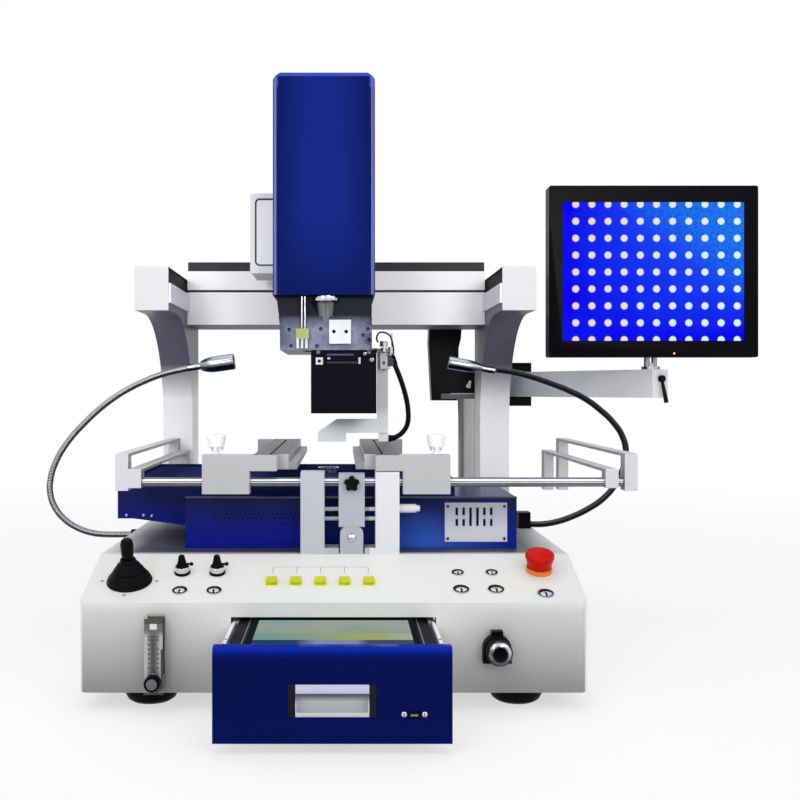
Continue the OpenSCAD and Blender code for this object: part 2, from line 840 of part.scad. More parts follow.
module flow_knob() {
    r = flow_knob_radius;
    color("black") from_front() translate([flow_knob_x, -flow_depth - slide_gap, flow_knob_z]) rotate([90, 0, 0])
        rotate_extrude() polygon([[0, -9], [stem_radius, -9], [stem_radius, 0], [r - 0.5, 0], [r, 1.5],
            [r, 11], [r - 2.5, 13], [0, 13]]);
}

module turns_knob() {
    r = turns_radius;
    h = turns_knob_depth;
    color("silver") from_front() translate([turns_x, -turns_base_depth - slide_gap, turns_z]) rotate([90, 0, 0])
        rotate_extrude() polygon([[0, -8], [stem_radius, -8], [stem_radius, 0], [r + 1.5, 0], [r + 1.5, 4],
            [r, 5], [r - 0.8, h - 2], [r - 3, h], [0, h]]);
}

// Gantry

// The side of an arm, or of the hollow inside it when t is its wall
module arm_outline(t) {
    back = column_start + column_depth;
    centre = [column_start - sweep_radius, nose_bottom - sweep_radius];
    difference() {
        union() {
            translate([nose_start + t, nose_bottom + t])
                square([back - nose_start - 2 * t, nose_height - 2 * t]);
            translate(centre) square(sweep_radius + t + 1);
            translate([column_start + t, deck_z - t]) square([column_depth - 2 * t, arm_height - 1]);
        }
        translate(centre) circle(sweep_radius + t);
        square([centre[0], nose_bottom + t]);
        square([column_start + t, centre[1]]);
    }
}

module gantry_arms() {
    color("gainsboro") from_front() for (side = [-1, 1]) scale([side, 1, 1]) {
        difference() {
            along_x(arm_inner, arm_outer) arm_outline(0);
            along_x(arm_inner + arm_wall, arm_outer - arm_wall) arm_outline(arm_wall);
            box([arm_inner - 1, nose_start + 1, rail_z + rail_height + 1],
                [arm_inner + groove_depth, column_start + column_depth - 8, arm_top - 2]);
        }
        box([arm_inner - rail_width, nose_start + 1, rail_z],
            [arm_inner, column_start + column_depth, rail_z + rail_height]);
    }
}

module beam_outline() {
    difference() {
        union() {
            translate([beam_start, beam_z]) square([beam_depth, beam_top_z - beam_z]);
            translate([beam_start + cap_setback, beam_top_z]) square([beam_depth - cap_setback, beam_cap_height]);
        }
        translate([beam_start - 1, beam_seam_z - seam_height / 2]) square([seam_depth + 1, seam_height]);
    }
}

module beam_hollows() {
    w = beam_wall;
    inner = beam_depth - 2 * w;
    translate([beam_start + w, beam_z + w]) square([inner, beam_lower_height - seam_height / 2 - 2 * w]);
    translate([beam_start + w, beam_seam_z + seam_height / 2 + w])
        square([inner, beam_upper_height - seam_height / 2 - w]);
    translate([beam_start + cap_setback + w, beam_top_z - 1])
        square([inner - cap_setback, beam_cap_height - w + 1]);
    translate([beam_start + seam_depth + w, beam_z + w])
        square([inner - seam_depth, beam_top_z - beam_z - w]);
}

module cross_beam() {
    color("whitesmoke") from_front() difference() {
        along_x(-beam_end, beam_end) beam_outline();
        along_x(-beam_end - 1, beam_end + 1) beam_hollows();
        for (side = [-1, 1]) scale([side, 1, 1])
            box([arm_inner - rail_width - gap, beam_start - 1, rail_z - gap],
                [beam_end + 1, beam_start + beam_depth + 1, rail_z + rail_height + gap]);
    }
}

// Head

module cover_block(t, bottom, back) {
    w = head_width / 2 - t;
    c = max(cover_chamfer - t, 1);
    top = cover_top - t;
    front = head_front + t;
    r = 10 - t;
    intersection() {
        along_y(front, back) polygon([
            [-head_offset - w, bottom], [-head_offset + w, bottom], [-head_offset + w, top - c],
            [-head_offset + w - c, top], [-head_offset - w + c, top], [-head_offset - w, top - c]
        ]);
        along_x(head_left, head_right) polygon([
            [front, bottom], [back, bottom], [back, top], [front + c * 0.7, top], [front, top - c * 0.7]
        ]);
        translate([0, 0, bottom]) linear_extrude(top - bottom) union() {
            translate([-head_offset - w, front + r]) square([2 * w, back - front - r]);
            translate([-head_offset - w + r, front]) square([2 * w - 2 * r, 2 * r]);
            for (x = [-head_offset - w + r, -head_offset + w - r]) translate([x, front + r]) circle(r);
        }
    }
}

module head_cover() {
    color("mediumblue") from_front() {
        difference() {
            cover_block(0, cover_bottom, head_back);
            cover_block(cover_wall, cover_bottom - 1, head_back - cover_back_wall);
        }
        box([head_left + 20, head_back - 1, beam_seam_z - seam_height / 2 + gap],
            [head_right - 20, head_back + seam_depth - 1, beam_seam_z + seam_height / 2 - gap]);
    }
}

module head_side_box() {
    left = head_left - side_box_width;
    front = head_front + 100;
    back = front + side_box_depth;
    low = cover_bottom + 46;
    high = low + side_box_height;
    color("gainsboro") from_front() difference() {
        intersection() {
            along_y(front, back) round_rect(left, low, head_left + 10, high, 4);
            box([left, front, low], [head_left, back, high]);
        }
        along_y(front - 1, front + 2) round_rect(left + 10, low + 22, head_left - 1, high - 9, 2);
    }
}

module head_carriage() {
    l = head_left + cover_wall + 2.5;
    r = head_right - cover_wall - 2.5;
    bottom = carriage_bottom;
    plate_top = bottom + carriage_plate_height;
    color("silver") from_front() {
        difference() {
            along_y(carriage_front, carriage_back) polygon([
                [l, cover_bottom + 54], [r, cover_bottom + 54], [r, bottom], [l + 7, bottom],
                [l + 6, bottom + 44], [l, cover_bottom]
            ]);
            translate([-head_offset, nozzle_y, bottom - 1])
                cylinder(r = nozzle_radius + 6, h = cover_bottom + 26 - bottom);
            translate([-head_offset, nozzle_y, bottom])
                cylinder(r = nozzle_stem_radius + running, h = 160);
            box([l + 6, nozzle_y + nozzle_radius + 12, bottom + 8],
                [r - 6, carriage_back - 6, cover_bottom + 60]);
            box([l - 1, carriage_front - 1, plate_top], [r + 1, carriage_front + 14, cover_bottom + 60]);
            for (hole = plate_holes) translate([hole[0], carriage_front - 1, bottom + hole[1]])
                rotate([-90, 0, 0]) cylinder(r = plate_hole_radius, h = 9);
        }
        box([r, crank_y - 10, bottom], [crank_left, crank_y + crank_thickness + 10, bottom + 8]);
        optics_rails();
        camera_barrel();
        plug_block();
    }
}

plate_holes = [[-75.5, 33], [-23.5, 34.5], [-30, 6.5], [-72.5, 6.5], [54, 34.5], [45.5, 24.5], [55.5, 16.5]];
plate_hole_radius = 3.4;

// The camera's dome and barrel, which stand in the recess above the plate
module camera_barrel() {
    low = carriage_bottom + 41;
    dome = carriage_bottom + 79;
    intersection() {
        translate([-15.5, carriage_front + 10.5, 0]) {
            translate([0, 0, low]) cylinder(r1 = 10.5, r2 = 14, h = dome - low);
            scale([1.2, 1, 1]) rotate_extrude() polygon([[0, dome], [17, dome], [19, dome + 3], [19, dome + 10],
                [16, dome + 14], [0, dome + 14]]);
        }
        box([-60, carriage_front - 9, low], [60, carriage_front + 14.5, dome + 20]);
    }
}

// The white connector block, the terminal block with its plugs, and two rods, on the plate's front
module plug_block() {
    y = carriage_front;
    z = carriage_bottom;
    difference() {
        box([-10, y - 7, z + 10], [26, y + 1, z + 49.5]);
        for (x = [-2, 18]) translate([x, y - 8, z + 30]) rotate([-90, 0, 0]) cylinder(r = 3, h = 5);
    }
    box([-64.5, y - 8, z + 18.5], [-43, y + 1, z + 35]);
    for (i = [0 : 2]) box([-63.5 + 7 * i, y - 6.5, z + 2.5], [-59 + 7 * i, y - 2, z + 19]);
    for (x = [-54.5, -49.5]) translate([x, y - 4, z + 34]) cylinder(r = 1.5, h = 54);
    for (x = [-54.5, -49.5]) box([x - 1.5, y - 4, z + 82], [x + 1.5, y + 15, z + 86]);
}

// Two rails under the carriage that the optics box hangs from
module optics_rails() {
    for (x = [optics_left + 12, optics_left + optics_width - 12])
        box([x - 3, carriage_front + 4, carriage_bottom - 6], [x + 3, carriage_back - 4, carriage_bottom]);
}

module optics_box() {
    front = carriage_front + 3;
    low = optics_top - optics_height;
    color("black") from_front() difference() {
        box([optics_left, front, low], [optics_left + optics_width, front + optics_depth, optics_top]);
        for (x = [optics_left + 12, optics_left + optics_width - 12])
            box([x - 3 - gap, front - 1, carriage_bottom - 6 - gap],
                [x + 3 + gap, front + optics_depth + 1, carriage_bottom + 1]);
        translate([-head_offset, front + optics_depth / 2, low - 1]) cylinder(r = 20, h = 9);
    }
}

module crank_bracket() {
    l = crank_left;
    r = crank_left + crank_width;
    top = carriage_bottom;
    arm_top_z = crank_arm_z + 25;
    color("gainsboro") from_front() {
        along_y(crank_y, crank_y + crank_thickness) polygon([
            [l, top + 8], [r, top + 8], [r, crank_arm_z], [crank_foot_right, crank_arm_z],
            [crank_foot_right, crank_foot_z], [crank_foot_left, crank_foot_z],
            [crank_foot_left, crank_arm_z + 1.7], [2.2, arm_top_z], [l, arm_top_z]
        ]);
        difference() {
            box([l + 5, crank_y - 12, top - 28.5], [l + 22.8, crank_y, top + 3]);
            translate([l + 11, crank_y + 1, top - 18]) rotate([90, 0, 0]) cylinder(r = 3, h = 14);
        }
        box([l + 22, crank_y - 8, top - 13], [l + 28, crank_y - 3, top - 7]);
        translate([l + 26.4, crank_y - 5.5, top - 15]) cylinder(r = 1.5, h = 50);
        box([l + 18, crank_y - 12.5, top - 24], [l + 29, crank_y - 0.5, top - 4]);
        box([r - 16, crank_y + crank_thickness, crank_foot_z], [r + 1, hose_back + 7, crank_foot_z + 17]);
    }
}

module sensor_hose() {
    color("black") from_front() tube_along(hose_path, hose_diameter / 2, 10);
}

module upper_nozzle() {
    r = nozzle_radius;
    stem = nozzle_stem_radius;
    mouth = carriage_bottom + 4;
    color("silver") from_front() translate([-head_offset, nozzle_y, mouth]) rotate_extrude()
        polygon([[13, 0], [16, 0], [16, 14], [r - 4, 24], [r, 30], [r, 90], [stem, 90], [stem, 140], [8, 140],
            [8, 86], [r - 4, 86], [r - 4, 32], [13, 16]]);
}

// Monitor and its arm

module monitor_bracket() {
    back = base_depth;
    front = column_start + column_depth + 2;
    slot_z = swing_z - gap;
    color("black") from_front() {
        difference() {
            union() {
                box([pivot_x - 28, pivot_y - 20, bracket_z], [pivot_x + 24, back, bracket_z + bracket_height]);
                box([198, front + 6, swing_z + 1], [pivot_x - 28, back - 2, swing_z + 55]);
                along_y(front + 6, back - 4) difference() {
                    polygon([[195, swing_z - 8], [250, swing_z - 8], [250, swing_z + 100],
                        [263, swing_z + 150], [263, swing_z + 190], [192, swing_z + 190], [189, swing_z + 110]]);
                    translate([385, swing_z + 118]) circle(130);
                }
            }
            translate([pivot_x, pivot_y, slot_z]) cylinder(r = boss_radius + 3, h = swing_tube_height + 2 * gap);
            box([pivot_x - 22, pivot_y - 30, slot_z], [pivot_x + 30, pivot_y, slot_z + swing_tube_height + 2 * gap]);
            box([pivot_x, pivot_y - 30, slot_z], [pivot_x + 30, pivot_y + 24, slot_z + swing_tube_height + 2 * gap]);
            translate([pivot_x, pivot_y, bracket_z - 1]) cylinder(r = pin_radius + running, h = bracket_height + 2);
        }
        difference() {
            box([247, back - 44, deck_z], [287, back - 4, swing_z + 1]);
            for (x = [247, 287], z = [0]) translate([x, back - 24, deck_z - 1]) cylinder(r = 4, h = swing_z);
        }
    }
}

module at_pivot() {
    translate([pivot_x, pivot_y, 0]) rotate([0, 0, swing_angle]) children();
}

module swing_arm() {
    w = swing_tube_width / 2;
    color("silver") from_front() at_pivot() {
        difference() {
            union() {
                translate([0, 0, swing_z]) cylinder(r = boss_radius, h = swing_tube_height);
                box([0, -w, swing_z], [swing_length + swing_overhang, w, swing_z + swing_tube_height]);
                translate([0, 0, bracket_z]) cylinder(r = pin_radius, h = bracket_height);
            }
            box([boss_radius + 6, -w + 3, swing_z + 3], [swing_length - 30, w - 3, swing_z + swing_tube_height - 3]);
            translate([swing_length, 0, swing_z + 10]) cylinder(r = pin_radius + running, h = swing_tube_height);
            translate([swing_length + swing_overhang - 9, 0, lever_z]) rotate([0, 90, 0])
                cylinder(r = 3 + running, h = 12);
        }
    }
}

module clamp_lever() {
    color("black") from_front() at_pivot() translate([swing_length + swing_overhang, 0, lever_z]) {
        translate([-8.5, 0, 0]) rotate([0, 90, 0]) cylinder(r = 3, h = 10);
        translate([slide_gap, 0, 0]) rotate([0, 90, 0]) cylinder(r = 6, h = 7);
        translate([3.5, 0, 0]) rotate([0, 166, 0]) cylinder(r1 = 2.6, r2 = 4, h = 43);
    }
}

module monitor_post() {
    top = swing_z + swing_tube_height;
    color("silver") from_front() translate([post_x, post_y, 0]) {
        translate([0, 0, swing_z + 12]) cylinder(r = pin_radius, h = swing_tube_height);
        translate([0, 0, top + slide_gap]) cylinder(r = 16, h = 5);
        difference() {
            union() {
                for (x = [-6.5, 6.5]) translate([x, 0, top + 5]) cylinder(r = 5, h = tilt_z - top + 15);
                box([-28, -9, tilt_z - 24], [28, 9, tilt_z + 24]);
            }
            translate([0, 0, tilt_z]) rotate([0, 90, 0]) cylinder(r = 4 + running, h = 70, center = true);
        }
    }
}

module monitor_shell() {
    half = monitor_width / 2;
    low = monitor_z;
    high = monitor_z + monitor_height;
    mid = monitor_z + monitor_height / 2;
    bezel_front = monitor_front;
    bezel_back = monitor_front + monitor_thickness;
    color("black") from_front() {
        difference() {
            union() {
                along_y(bezel_front, bezel_back) round_rect(monitor_x - half, low, monitor_x + half, high, 4);
                along_y(bezel_back, monitor_back)
                    round_rect(monitor_x - half + 50, low + 40, monitor_x + half - 50, high - 40, 20);
            }
            box([monitor_x - picture_width / 2 - 4, bezel_front - 1, mid - picture_height / 2 - 4],
                [monitor_x + picture_width / 2 + 4, bezel_front + 6, mid + picture_height / 2 + 4]);
            box([monitor_x - picture_width / 2, bezel_front + 5, mid - picture_height / 2],
                [monitor_x + picture_width / 2, bezel_back - 3, mid + picture_height / 2]);
            box([monitor_x - half + 62, bezel_back - 4, low + 54],
                [monitor_x + half - 62, monitor_back - 3, high - 54]);
        }
        for (x = [post_x - 35 - gap, post_x + 29 + gap]) box([x, monitor_back, tilt_z - 20], [x + 6, post_y + 10, tilt_z + 20]);
        translate([post_x - 35, post_y, tilt_z]) rotate([0, 90, 0]) cylinder(r = 4, h = 70);
    }
}

module monitor_screen() {
    mid = monitor_z + monitor_height / 2;
    color("royalblue") from_front()
        box([monitor_x - picture_width / 2 - 4, monitor_front + 2, mid - picture_height / 2 - 4],
            [monitor_x + picture_width / 2 + 4, monitor_front + 6, mid + picture_height / 2 + 4]);
}

// Clamp table

module rod_bores() {
    for (at = [[front_rod_y, front_rod_z], [rear_rod_y, rear_rod_z]])
        translate([0, at[0], at[1]]) rotate([0, 90, 0]) cylinder(r = rod_radius + running, h = 2000, center = true);
}

module table_rods() {
    color("silver") from_front()
        for (at = [[front_rod_y, front_rod_z], [rear_rod_y, rear_rod_z]])
            translate([table_left + 2, at[0], at[1]]) rotate([0, 90, 0])
                cylinder(r = rod_radius, h = table_right - table_left - 4);
}

module support_post(x) {
    box([x - post_width / 2, support_front, deck_z], [x + post_width / 2, support_front + support_depth, deck_z + post_height]);
}

module table_supports() {
    left = supports_x - support_spread / 2;
    right = supports_x + support_spread / 2;
    lock_low = deck_z + 40;
    tongue = 34;
    color("silver") from_front() difference() {
        union() {
            support_post(left);
            support_post(right);
            box([left, support_front, deck_z], [lock_x - tongue / 2 - 2, support_front + support_depth, deck_z + 9]);
            box([lock_x + tongue / 2 + 2, support_front, deck_z], [right, support_front + support_depth, deck_z + 9]);
            box([lock_x - lock_width / 2, support_front, lock_low],
                [lock_x + lock_width / 2, support_front + 34, front_rod_z + 13]);
            along_y(support_front + 1, support_front + 31) union() {
                round_rect(lock_x - tongue / 2, deck_z + 10, lock_x + tongue / 2, lock_low + 1, 12);
                translate([lock_x - tongue / 2, deck_z]) square([tongue, 24]);
                translate([lock_x - tongue / 2 + 12, deck_z + 20]) square([tongue - 24, lock_low - deck_z - 19]);
            }
            for (z = [deck_z + 50, deck_z + 64]) translate([left, front_rod_y, z]) rotate([0, 90, 0])
                cylinder(r = 3, h = right - left);
            for (x = [supports_x - rear_spread, supports_x + rear_spread])
                box([x - 12, rear_rod_y - 12, deck_z], [x + 12, rear_rod_y + 12, rear_rod_z + 15]);
            translate([right + post_width / 2 - 1, front_rod_y, deck_z + 65]) rotate([0, 90, 0]) {
                cylinder(r = 6.5, h = 27);
                cylinder(r = 4.6, h = 32);
            }
        }
        rod_bores();
        translate([lock_x, support_front - 1, front_rod_z]) rotate([-90, 0, 0])
            cylinder(r = stem_radius + running, h = front_rod_y - support_front);
    }
}

module star_knob() {
    lobes = 5;
    color("black") from_front() translate([lock_x, support_front - slide_gap, front_rod_z]) rotate([90, 0, 0]) {
        translate([0, 0, -9]) cylinder(r = stem_radius, h = 10);
        linear_extrude(13) union() {
            circle(r = star_radius - 3);
            for (i = [0 : lobes - 1]) rotate([0, 0, i * 360 / lobes + 18]) translate([star_radius - 4, 0]) circle(r = 4);
        }
    }
}

module end_frame(x, block_top, block_height) {
    back_y = rear_rod_y - block_depth / 2;
    front_y = front_rod_y - block_depth / 2;
    rear_low = rear_rod_z - 12;
    difference() {
        along_x(x, x + frame_width) union() {
            translate([front_y, block_top - block_height]) square([block_depth, block_height]);
            translate([front_y, block_top - top_bar_thickness])
                square([back_y + block_depth - front_y, top_bar_thickness]);
            translate([back_y, rear_low]) square([block_depth, block_top - rear_low]);
        }
        rod_bores();
    }
}

module end_frames() {
    color("gainsboro") from_front() {
        end_frame(table_left, outer_block_top, outer_block_height);
        end_frame(inner_left_x, inner_block_top, inner_block_height);
        end_frame(inner_right_x, inner_block_top, inner_block_height);
        end_frame(table_right - frame_width, outer_block_top, outer_block_height);
    }
}

// A jaw drawn for the right-hand side, with x = 0 at the face that grips the board
module jaw() {
    front_y = front_rod_y - block_depth / 2;
    rear_y = rear_rod_y - block_depth / 2;
    block_end = jaw_block_start + jaw_block_width;
    difference() {
        union() {
            box([jaw_block_start, front_y, jaw_block_bottom], [block_end, front_y + block_depth, jaw_top]);
            box([16, front_y, jaw_plate_bottom], [block_end, front_y + block_depth, jaw_top]);
            box([16, front_y + block_depth - 1, jaw_plate_bottom], [jaw_bar_width, jaw_bar_start + 1, jaw_top]);
            box([0, jaw_bar_start, jaw_bar_bottom], [jaw_bar_width, rear_y + block_depth, jaw_top]);
            box([-jaw_ledge_width, jaw_bar_start, jaw_bar_bottom], [1, rear_y, jaw_ledge_z]);
            box([jaw_bar_width - 1, rear_y, jaw_bar_bottom], [82, rear_y + block_depth, jaw_top]);
            box([40, rear_y, rear_rod_z - 14], [82, rear_y + block_depth, jaw_bar_bottom + 1]);
        }
        box([jaw_bar_width / 2 - 1, jaw_bar_start - 20, jaw_top - 3],
            [jaw_bar_width / 2 - 1 + jaw_slot_width, rear_y - 14, jaw_top + 1]);
        rod_bores();
        translate([thumb_offset, front_rod_y, front_rod_z]) cylinder(r = stem_radius + running, h = 60);
    }
}

module left_jaw() {
    color("lightgray") from_front() translate([jaw_mid - board_gap / 2, 0, 0]) scale([-1, 1, 1]) jaw();
}

module right_jaw() {
    color("lightgray") from_front() translate([jaw_mid + board_gap / 2, 0, 0]) jaw();
}

module thumb_knob(x) {
    r = thumb_radius;
    color("white") from_front() translate([x, front_rod_y, jaw_top + slide_gap]) {
        rotate_extrude() polygon([[0, -14], [stem_radius, -14], [stem_radius, 0], [5, 0], [5, 3], [4, 5], [4, 10],
            [r - 4, 10], [r - 2.5, 12], [r, 27], [r - 2, 29], [0, 29]]);
        for (i = [0 : 2]) rotate([0, 0, i * 120 + 30]) translate([r - 5, 0, 5]) cylinder(r = 2.2, h = 8);
    }
}

module left_thumb_knob() { thumb_knob(jaw_mid - board_gap / 2 - thumb_offset); }
module right_thumb_knob() { thumb_knob(jaw_mid + board_gap / 2 + thumb_offset); }

// Heater

module heater_box() {
    left = heater_x - heater_width / 2;
    right = heater_x + heater_width / 2;
    tray_right = preheater_left + preheater_width;
    back = preheater_start + preheater_depth;
    box_top = deck_z + heater_height;
    color("navy") from_front() difference() {
        union() {
            box([left, heater_start, deck_z], [right, heater_start + heater_depth, box_top]);
            box([left, heater_start - 1.5, box_top - 2], [right, heater_start, box_top + 1.5]);
            along_y(preheater_start, back) polygon([
                [preheater_left, preheater_top], [tray_right, preheater_top], [tray_right, box_top - 1],
                [left, box_top - 1], [left, preheater_bottom], [preheater_left + 24, preheater_bottom + 12],
                [preheater_left, preheater_bottom + 12]
            ]);
        }
        box([jaw_mid - 30, lower_nozzle_y - 30, deck_z - 1], [jaw_mid + 30, lower_nozzle_y + 30, preheater_top + 1]);
        box([left + sheet, heater_start + sheet, deck_z - 1],
            [right - sheet, heater_start + heater_depth - sheet, box_top - sheet]);
        box([left + sheet, preheater_start + sheet, box_top - sheet - 1],
            [tray_right - sheet, heater_start + heater_depth - sheet, preheater_top - 8]);
        box([preheater_left + 27, preheater_start + sheet, preheater_bottom + 12 + sheet],
            [left + sheet + 1, back - sheet - 36, preheater_top - 8]);
        for (side = [-1, 1]) {
            x0 = side < 0 ? preheater_left + 14 : jaw_mid + 44;
            x1 = side < 0 ? jaw_mid - 44 : tray_right - 14;
            box([x0, preheater_start + 14, preheater_top - 4], [x1, back - 14, preheater_top + 1]);
        }
    }
}

module vent_panel() {
    low = deck_z + 9.5;
    pitch = 10.5;
    left = vent_x - vent_width / 2;
    right = vent_x + vent_width / 2;
    color("silver") from_front() {
        difference() {
            box([left, heater_start - 2, low], [right, heater_start, low + vent_height]);
            for (i = [0 : vent_slots - 1]) let (x = vent_x - 3 + (i - (vent_slots - 1) / 2) * pitch)
                box([x - 2, heater_start - 3, low + 24], [x + 2, heater_start + 1, low + 52]);
        }
        for (x = [left + 4.5, right - 4.5], z = [low + 5, low + vent_height - 5.5])
            translate([x, heater_start - 1.9, z]) rotate([90, 0, 0]) cylinder(r = 2.2, h = 1.3);
    }
}

module lower_nozzle() {
    top = preheater_top - deck_z + 7;
    color("silver") from_front() translate([jaw_mid, lower_nozzle_y, deck_z]) rotate_extrude()
        polygon([[0, 0], [29, 0], [29, 4], [26, 4], [26, 70], [18, 82], [18, top], [15, top], [15, 80],
            [22, 68], [22, 34], [0, 34]]);
}

// Lamps

module lamp_necks() {
    color("silver") from_front() {
        tube_along(neck_route(left_lower_route, left_neck_y, -1), neck_radius, 12);
        tube_along(neck_route(right_lower_route, right_neck_y, 1), neck_radius, 12);
        for (split = [left_split, right_split])
            translate(split) rotate([90, 0, 0]) cylinder(r = neck_radius, h = 2 * neck_radius, center = true);
    }
}

module lamp_head() {
    r = lamp_radius;
    n = neck_radius;
    difference() {
        rotate_extrude() polygon([[0, -14], [n - 1, -14], [n + 1, -10], [n + 1, 4], [n - 0.6, 8], [n, 14], [r * 0.62, 24],
            [r * 0.9, 38], [r, lamp_length - 6], [r, lamp_length], [0, lamp_length]]);
        translate([0, 0, lamp_length - 5]) cylinder(r = r - 2, h = 6);
    }
}

module lamp(route, y, split, side, tilt) {
    path = neck_route(route, y, side);
    color("silver") from_front() difference() {
        union() {
            tube_along(path, neck_radius, 12);
            translate(path[len(path) - 1]) rotate([0, -side * (90 - tilt), 0]) lamp_head();
        }
        translate(split) rotate([90, 0, 0]) cylinder(r = neck_radius + 0.6, h = 4 * neck_radius, center = true);
    }
}

module left_lamp() { lamp(left_upper_route, left_neck_y, left_split, -1, lamp_tilt_left); }
module right_lamp() { lamp(right_upper_route, right_neck_y, right_split, 1, lamp_tilt_right); }

base_housing();
base_pan();
feet();
drawer_tray();
drawer_front();
drawer_pull();
touch_screen();
panel_fittings();
joystick_boot();
joystick_gimbal();
joystick_lever();
left_dimmer();
right_dimmer();
square_button_1();
square_button_2();
square_button_3();
square_button_4();
square_button_5();
round_button_1();
round_button_2();
round_button_3();
round_button_4();
round_button_5();
round_button_6();
round_button_7();
stop_plunger();
stop_head();
flow_meter();
flow_float();
flow_knob();
turns_knob();
gantry_arms();
cross_beam();
head_cover();
head_side_box();
head_carriage();
crank_bracket();
sensor_hose();
optics_box();
upper_nozzle();
monitor_bracket();
swing_arm();
clamp_lever();
monitor_post();
monitor_shell();
monitor_screen();
table_supports();
table_rods();
end_frames();
left_jaw();
right_jaw();
left_thumb_knob();
right_thumb_knob();
star_knob();
heater_box();
vent_panel();
lower_nozzle();
lamp_necks();
left_lamp();
right_lamp();
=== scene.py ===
# A bench rework station, dressed for a studio picture
import bmesh
import bpy
import json
import math
from mathutils import Matrix, Vector

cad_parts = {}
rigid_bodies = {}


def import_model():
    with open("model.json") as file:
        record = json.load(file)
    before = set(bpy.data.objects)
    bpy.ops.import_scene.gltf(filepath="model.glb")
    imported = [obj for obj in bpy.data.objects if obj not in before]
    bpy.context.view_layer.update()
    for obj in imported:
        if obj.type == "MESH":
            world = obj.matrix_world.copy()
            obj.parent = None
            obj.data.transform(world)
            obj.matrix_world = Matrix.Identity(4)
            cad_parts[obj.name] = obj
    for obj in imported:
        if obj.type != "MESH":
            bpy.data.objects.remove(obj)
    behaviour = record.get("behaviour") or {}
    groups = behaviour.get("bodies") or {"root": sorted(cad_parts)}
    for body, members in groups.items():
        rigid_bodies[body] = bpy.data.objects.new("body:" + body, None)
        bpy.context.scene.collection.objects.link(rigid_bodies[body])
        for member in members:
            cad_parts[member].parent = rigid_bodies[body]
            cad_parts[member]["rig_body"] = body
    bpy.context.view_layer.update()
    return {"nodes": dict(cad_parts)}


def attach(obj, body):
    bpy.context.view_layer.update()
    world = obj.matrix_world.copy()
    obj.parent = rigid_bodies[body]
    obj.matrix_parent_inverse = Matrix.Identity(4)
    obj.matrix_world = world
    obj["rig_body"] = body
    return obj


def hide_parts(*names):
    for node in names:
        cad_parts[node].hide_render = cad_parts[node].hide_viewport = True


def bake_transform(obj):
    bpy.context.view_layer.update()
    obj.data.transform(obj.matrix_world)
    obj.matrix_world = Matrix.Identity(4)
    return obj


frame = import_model()
nodes = frame["nodes"]
mm = 0.001
consoleDepth = 780
halfWidth = 342.5
panelAngle = math.atan2(45, 127)
noseHeight = 145
deckHeight = 190


# Places are given in millimetres from the console's front wall, as in the part's source
def at(x, y, z):
    return Vector((x * mm, (y - consoleDepth / 2) * mm, z * mm))


def spot(place):
    return place.x / mm, place.y / mm + consoleDepth / 2, place.z / mm


# A point on the sloped control panel: across, up the slope, and out of it
def onPanel(x, s, out=0):
    y = s * math.cos(panelAngle) - out * math.sin(panelAngle)
    z = noseHeight + s * math.sin(panelAngle) + out * math.cos(panelAngle)
    return at(x, y, z)


# The other way round: how far a place lies up the slope, and out of it
def upPanel(y, z):
    return y * math.cos(panelAngle) + (z - noseHeight) * math.sin(panelAngle)


def outOfPanel(y, z):
    return (z - noseHeight) * math.cos(panelAngle) - y * math.sin(panelAngle)


def panelMatrix(x, s):
    return Matrix.Translation(onPanel(x, s)) @ Matrix.Rotation(panelAngle, 4, "X")


def frontMatrix(x, y, z):
    return Matrix.Translation(at(x, y, z)) @ Matrix.Rotation(math.radians(90), 4, "X")


# Shader building

class Signal:
    def __init__(self, paint, socket):
        self.paint = paint
        self.socket = socket

    def calc(self, operation, first, second=0.0):
        return self.paint.node("Math", {"operation": operation}, {0: first, 1: second})

    def __add__(self, other):
        return self.calc("ADD", self, other)

    def __radd__(self, other):
        return self.calc("ADD", other, self)

    def __sub__(self, other):
        return self.calc("SUBTRACT", self, other)

    def __rsub__(self, other):
        return self.calc("SUBTRACT", other, self)

    def __mul__(self, other):
        return self.calc("MULTIPLY", self, other)

    def __rmul__(self, other):
        return self.calc("MULTIPLY", other, self)

    def __truediv__(self, other):
        return self.calc("DIVIDE", self, other)

    def __gt__(self, other):
        return self.calc("GREATER_THAN", self, other)

    def __lt__(self, other):
        return self.calc("LESS_THAN", self, other)

    def __mod__(self, other):
        return self.calc("FLOORED_MODULO", self, other)

    def __abs__(self):
        return self.calc("ABSOLUTE", self)

    def atLeast(self, low):
        return self.calc("MAXIMUM", self, low)

    def root(self):
        return self.calc("SQRT", self)

    def clamped(self):
        return self.paint.node("Clamp", sockets={0: self})


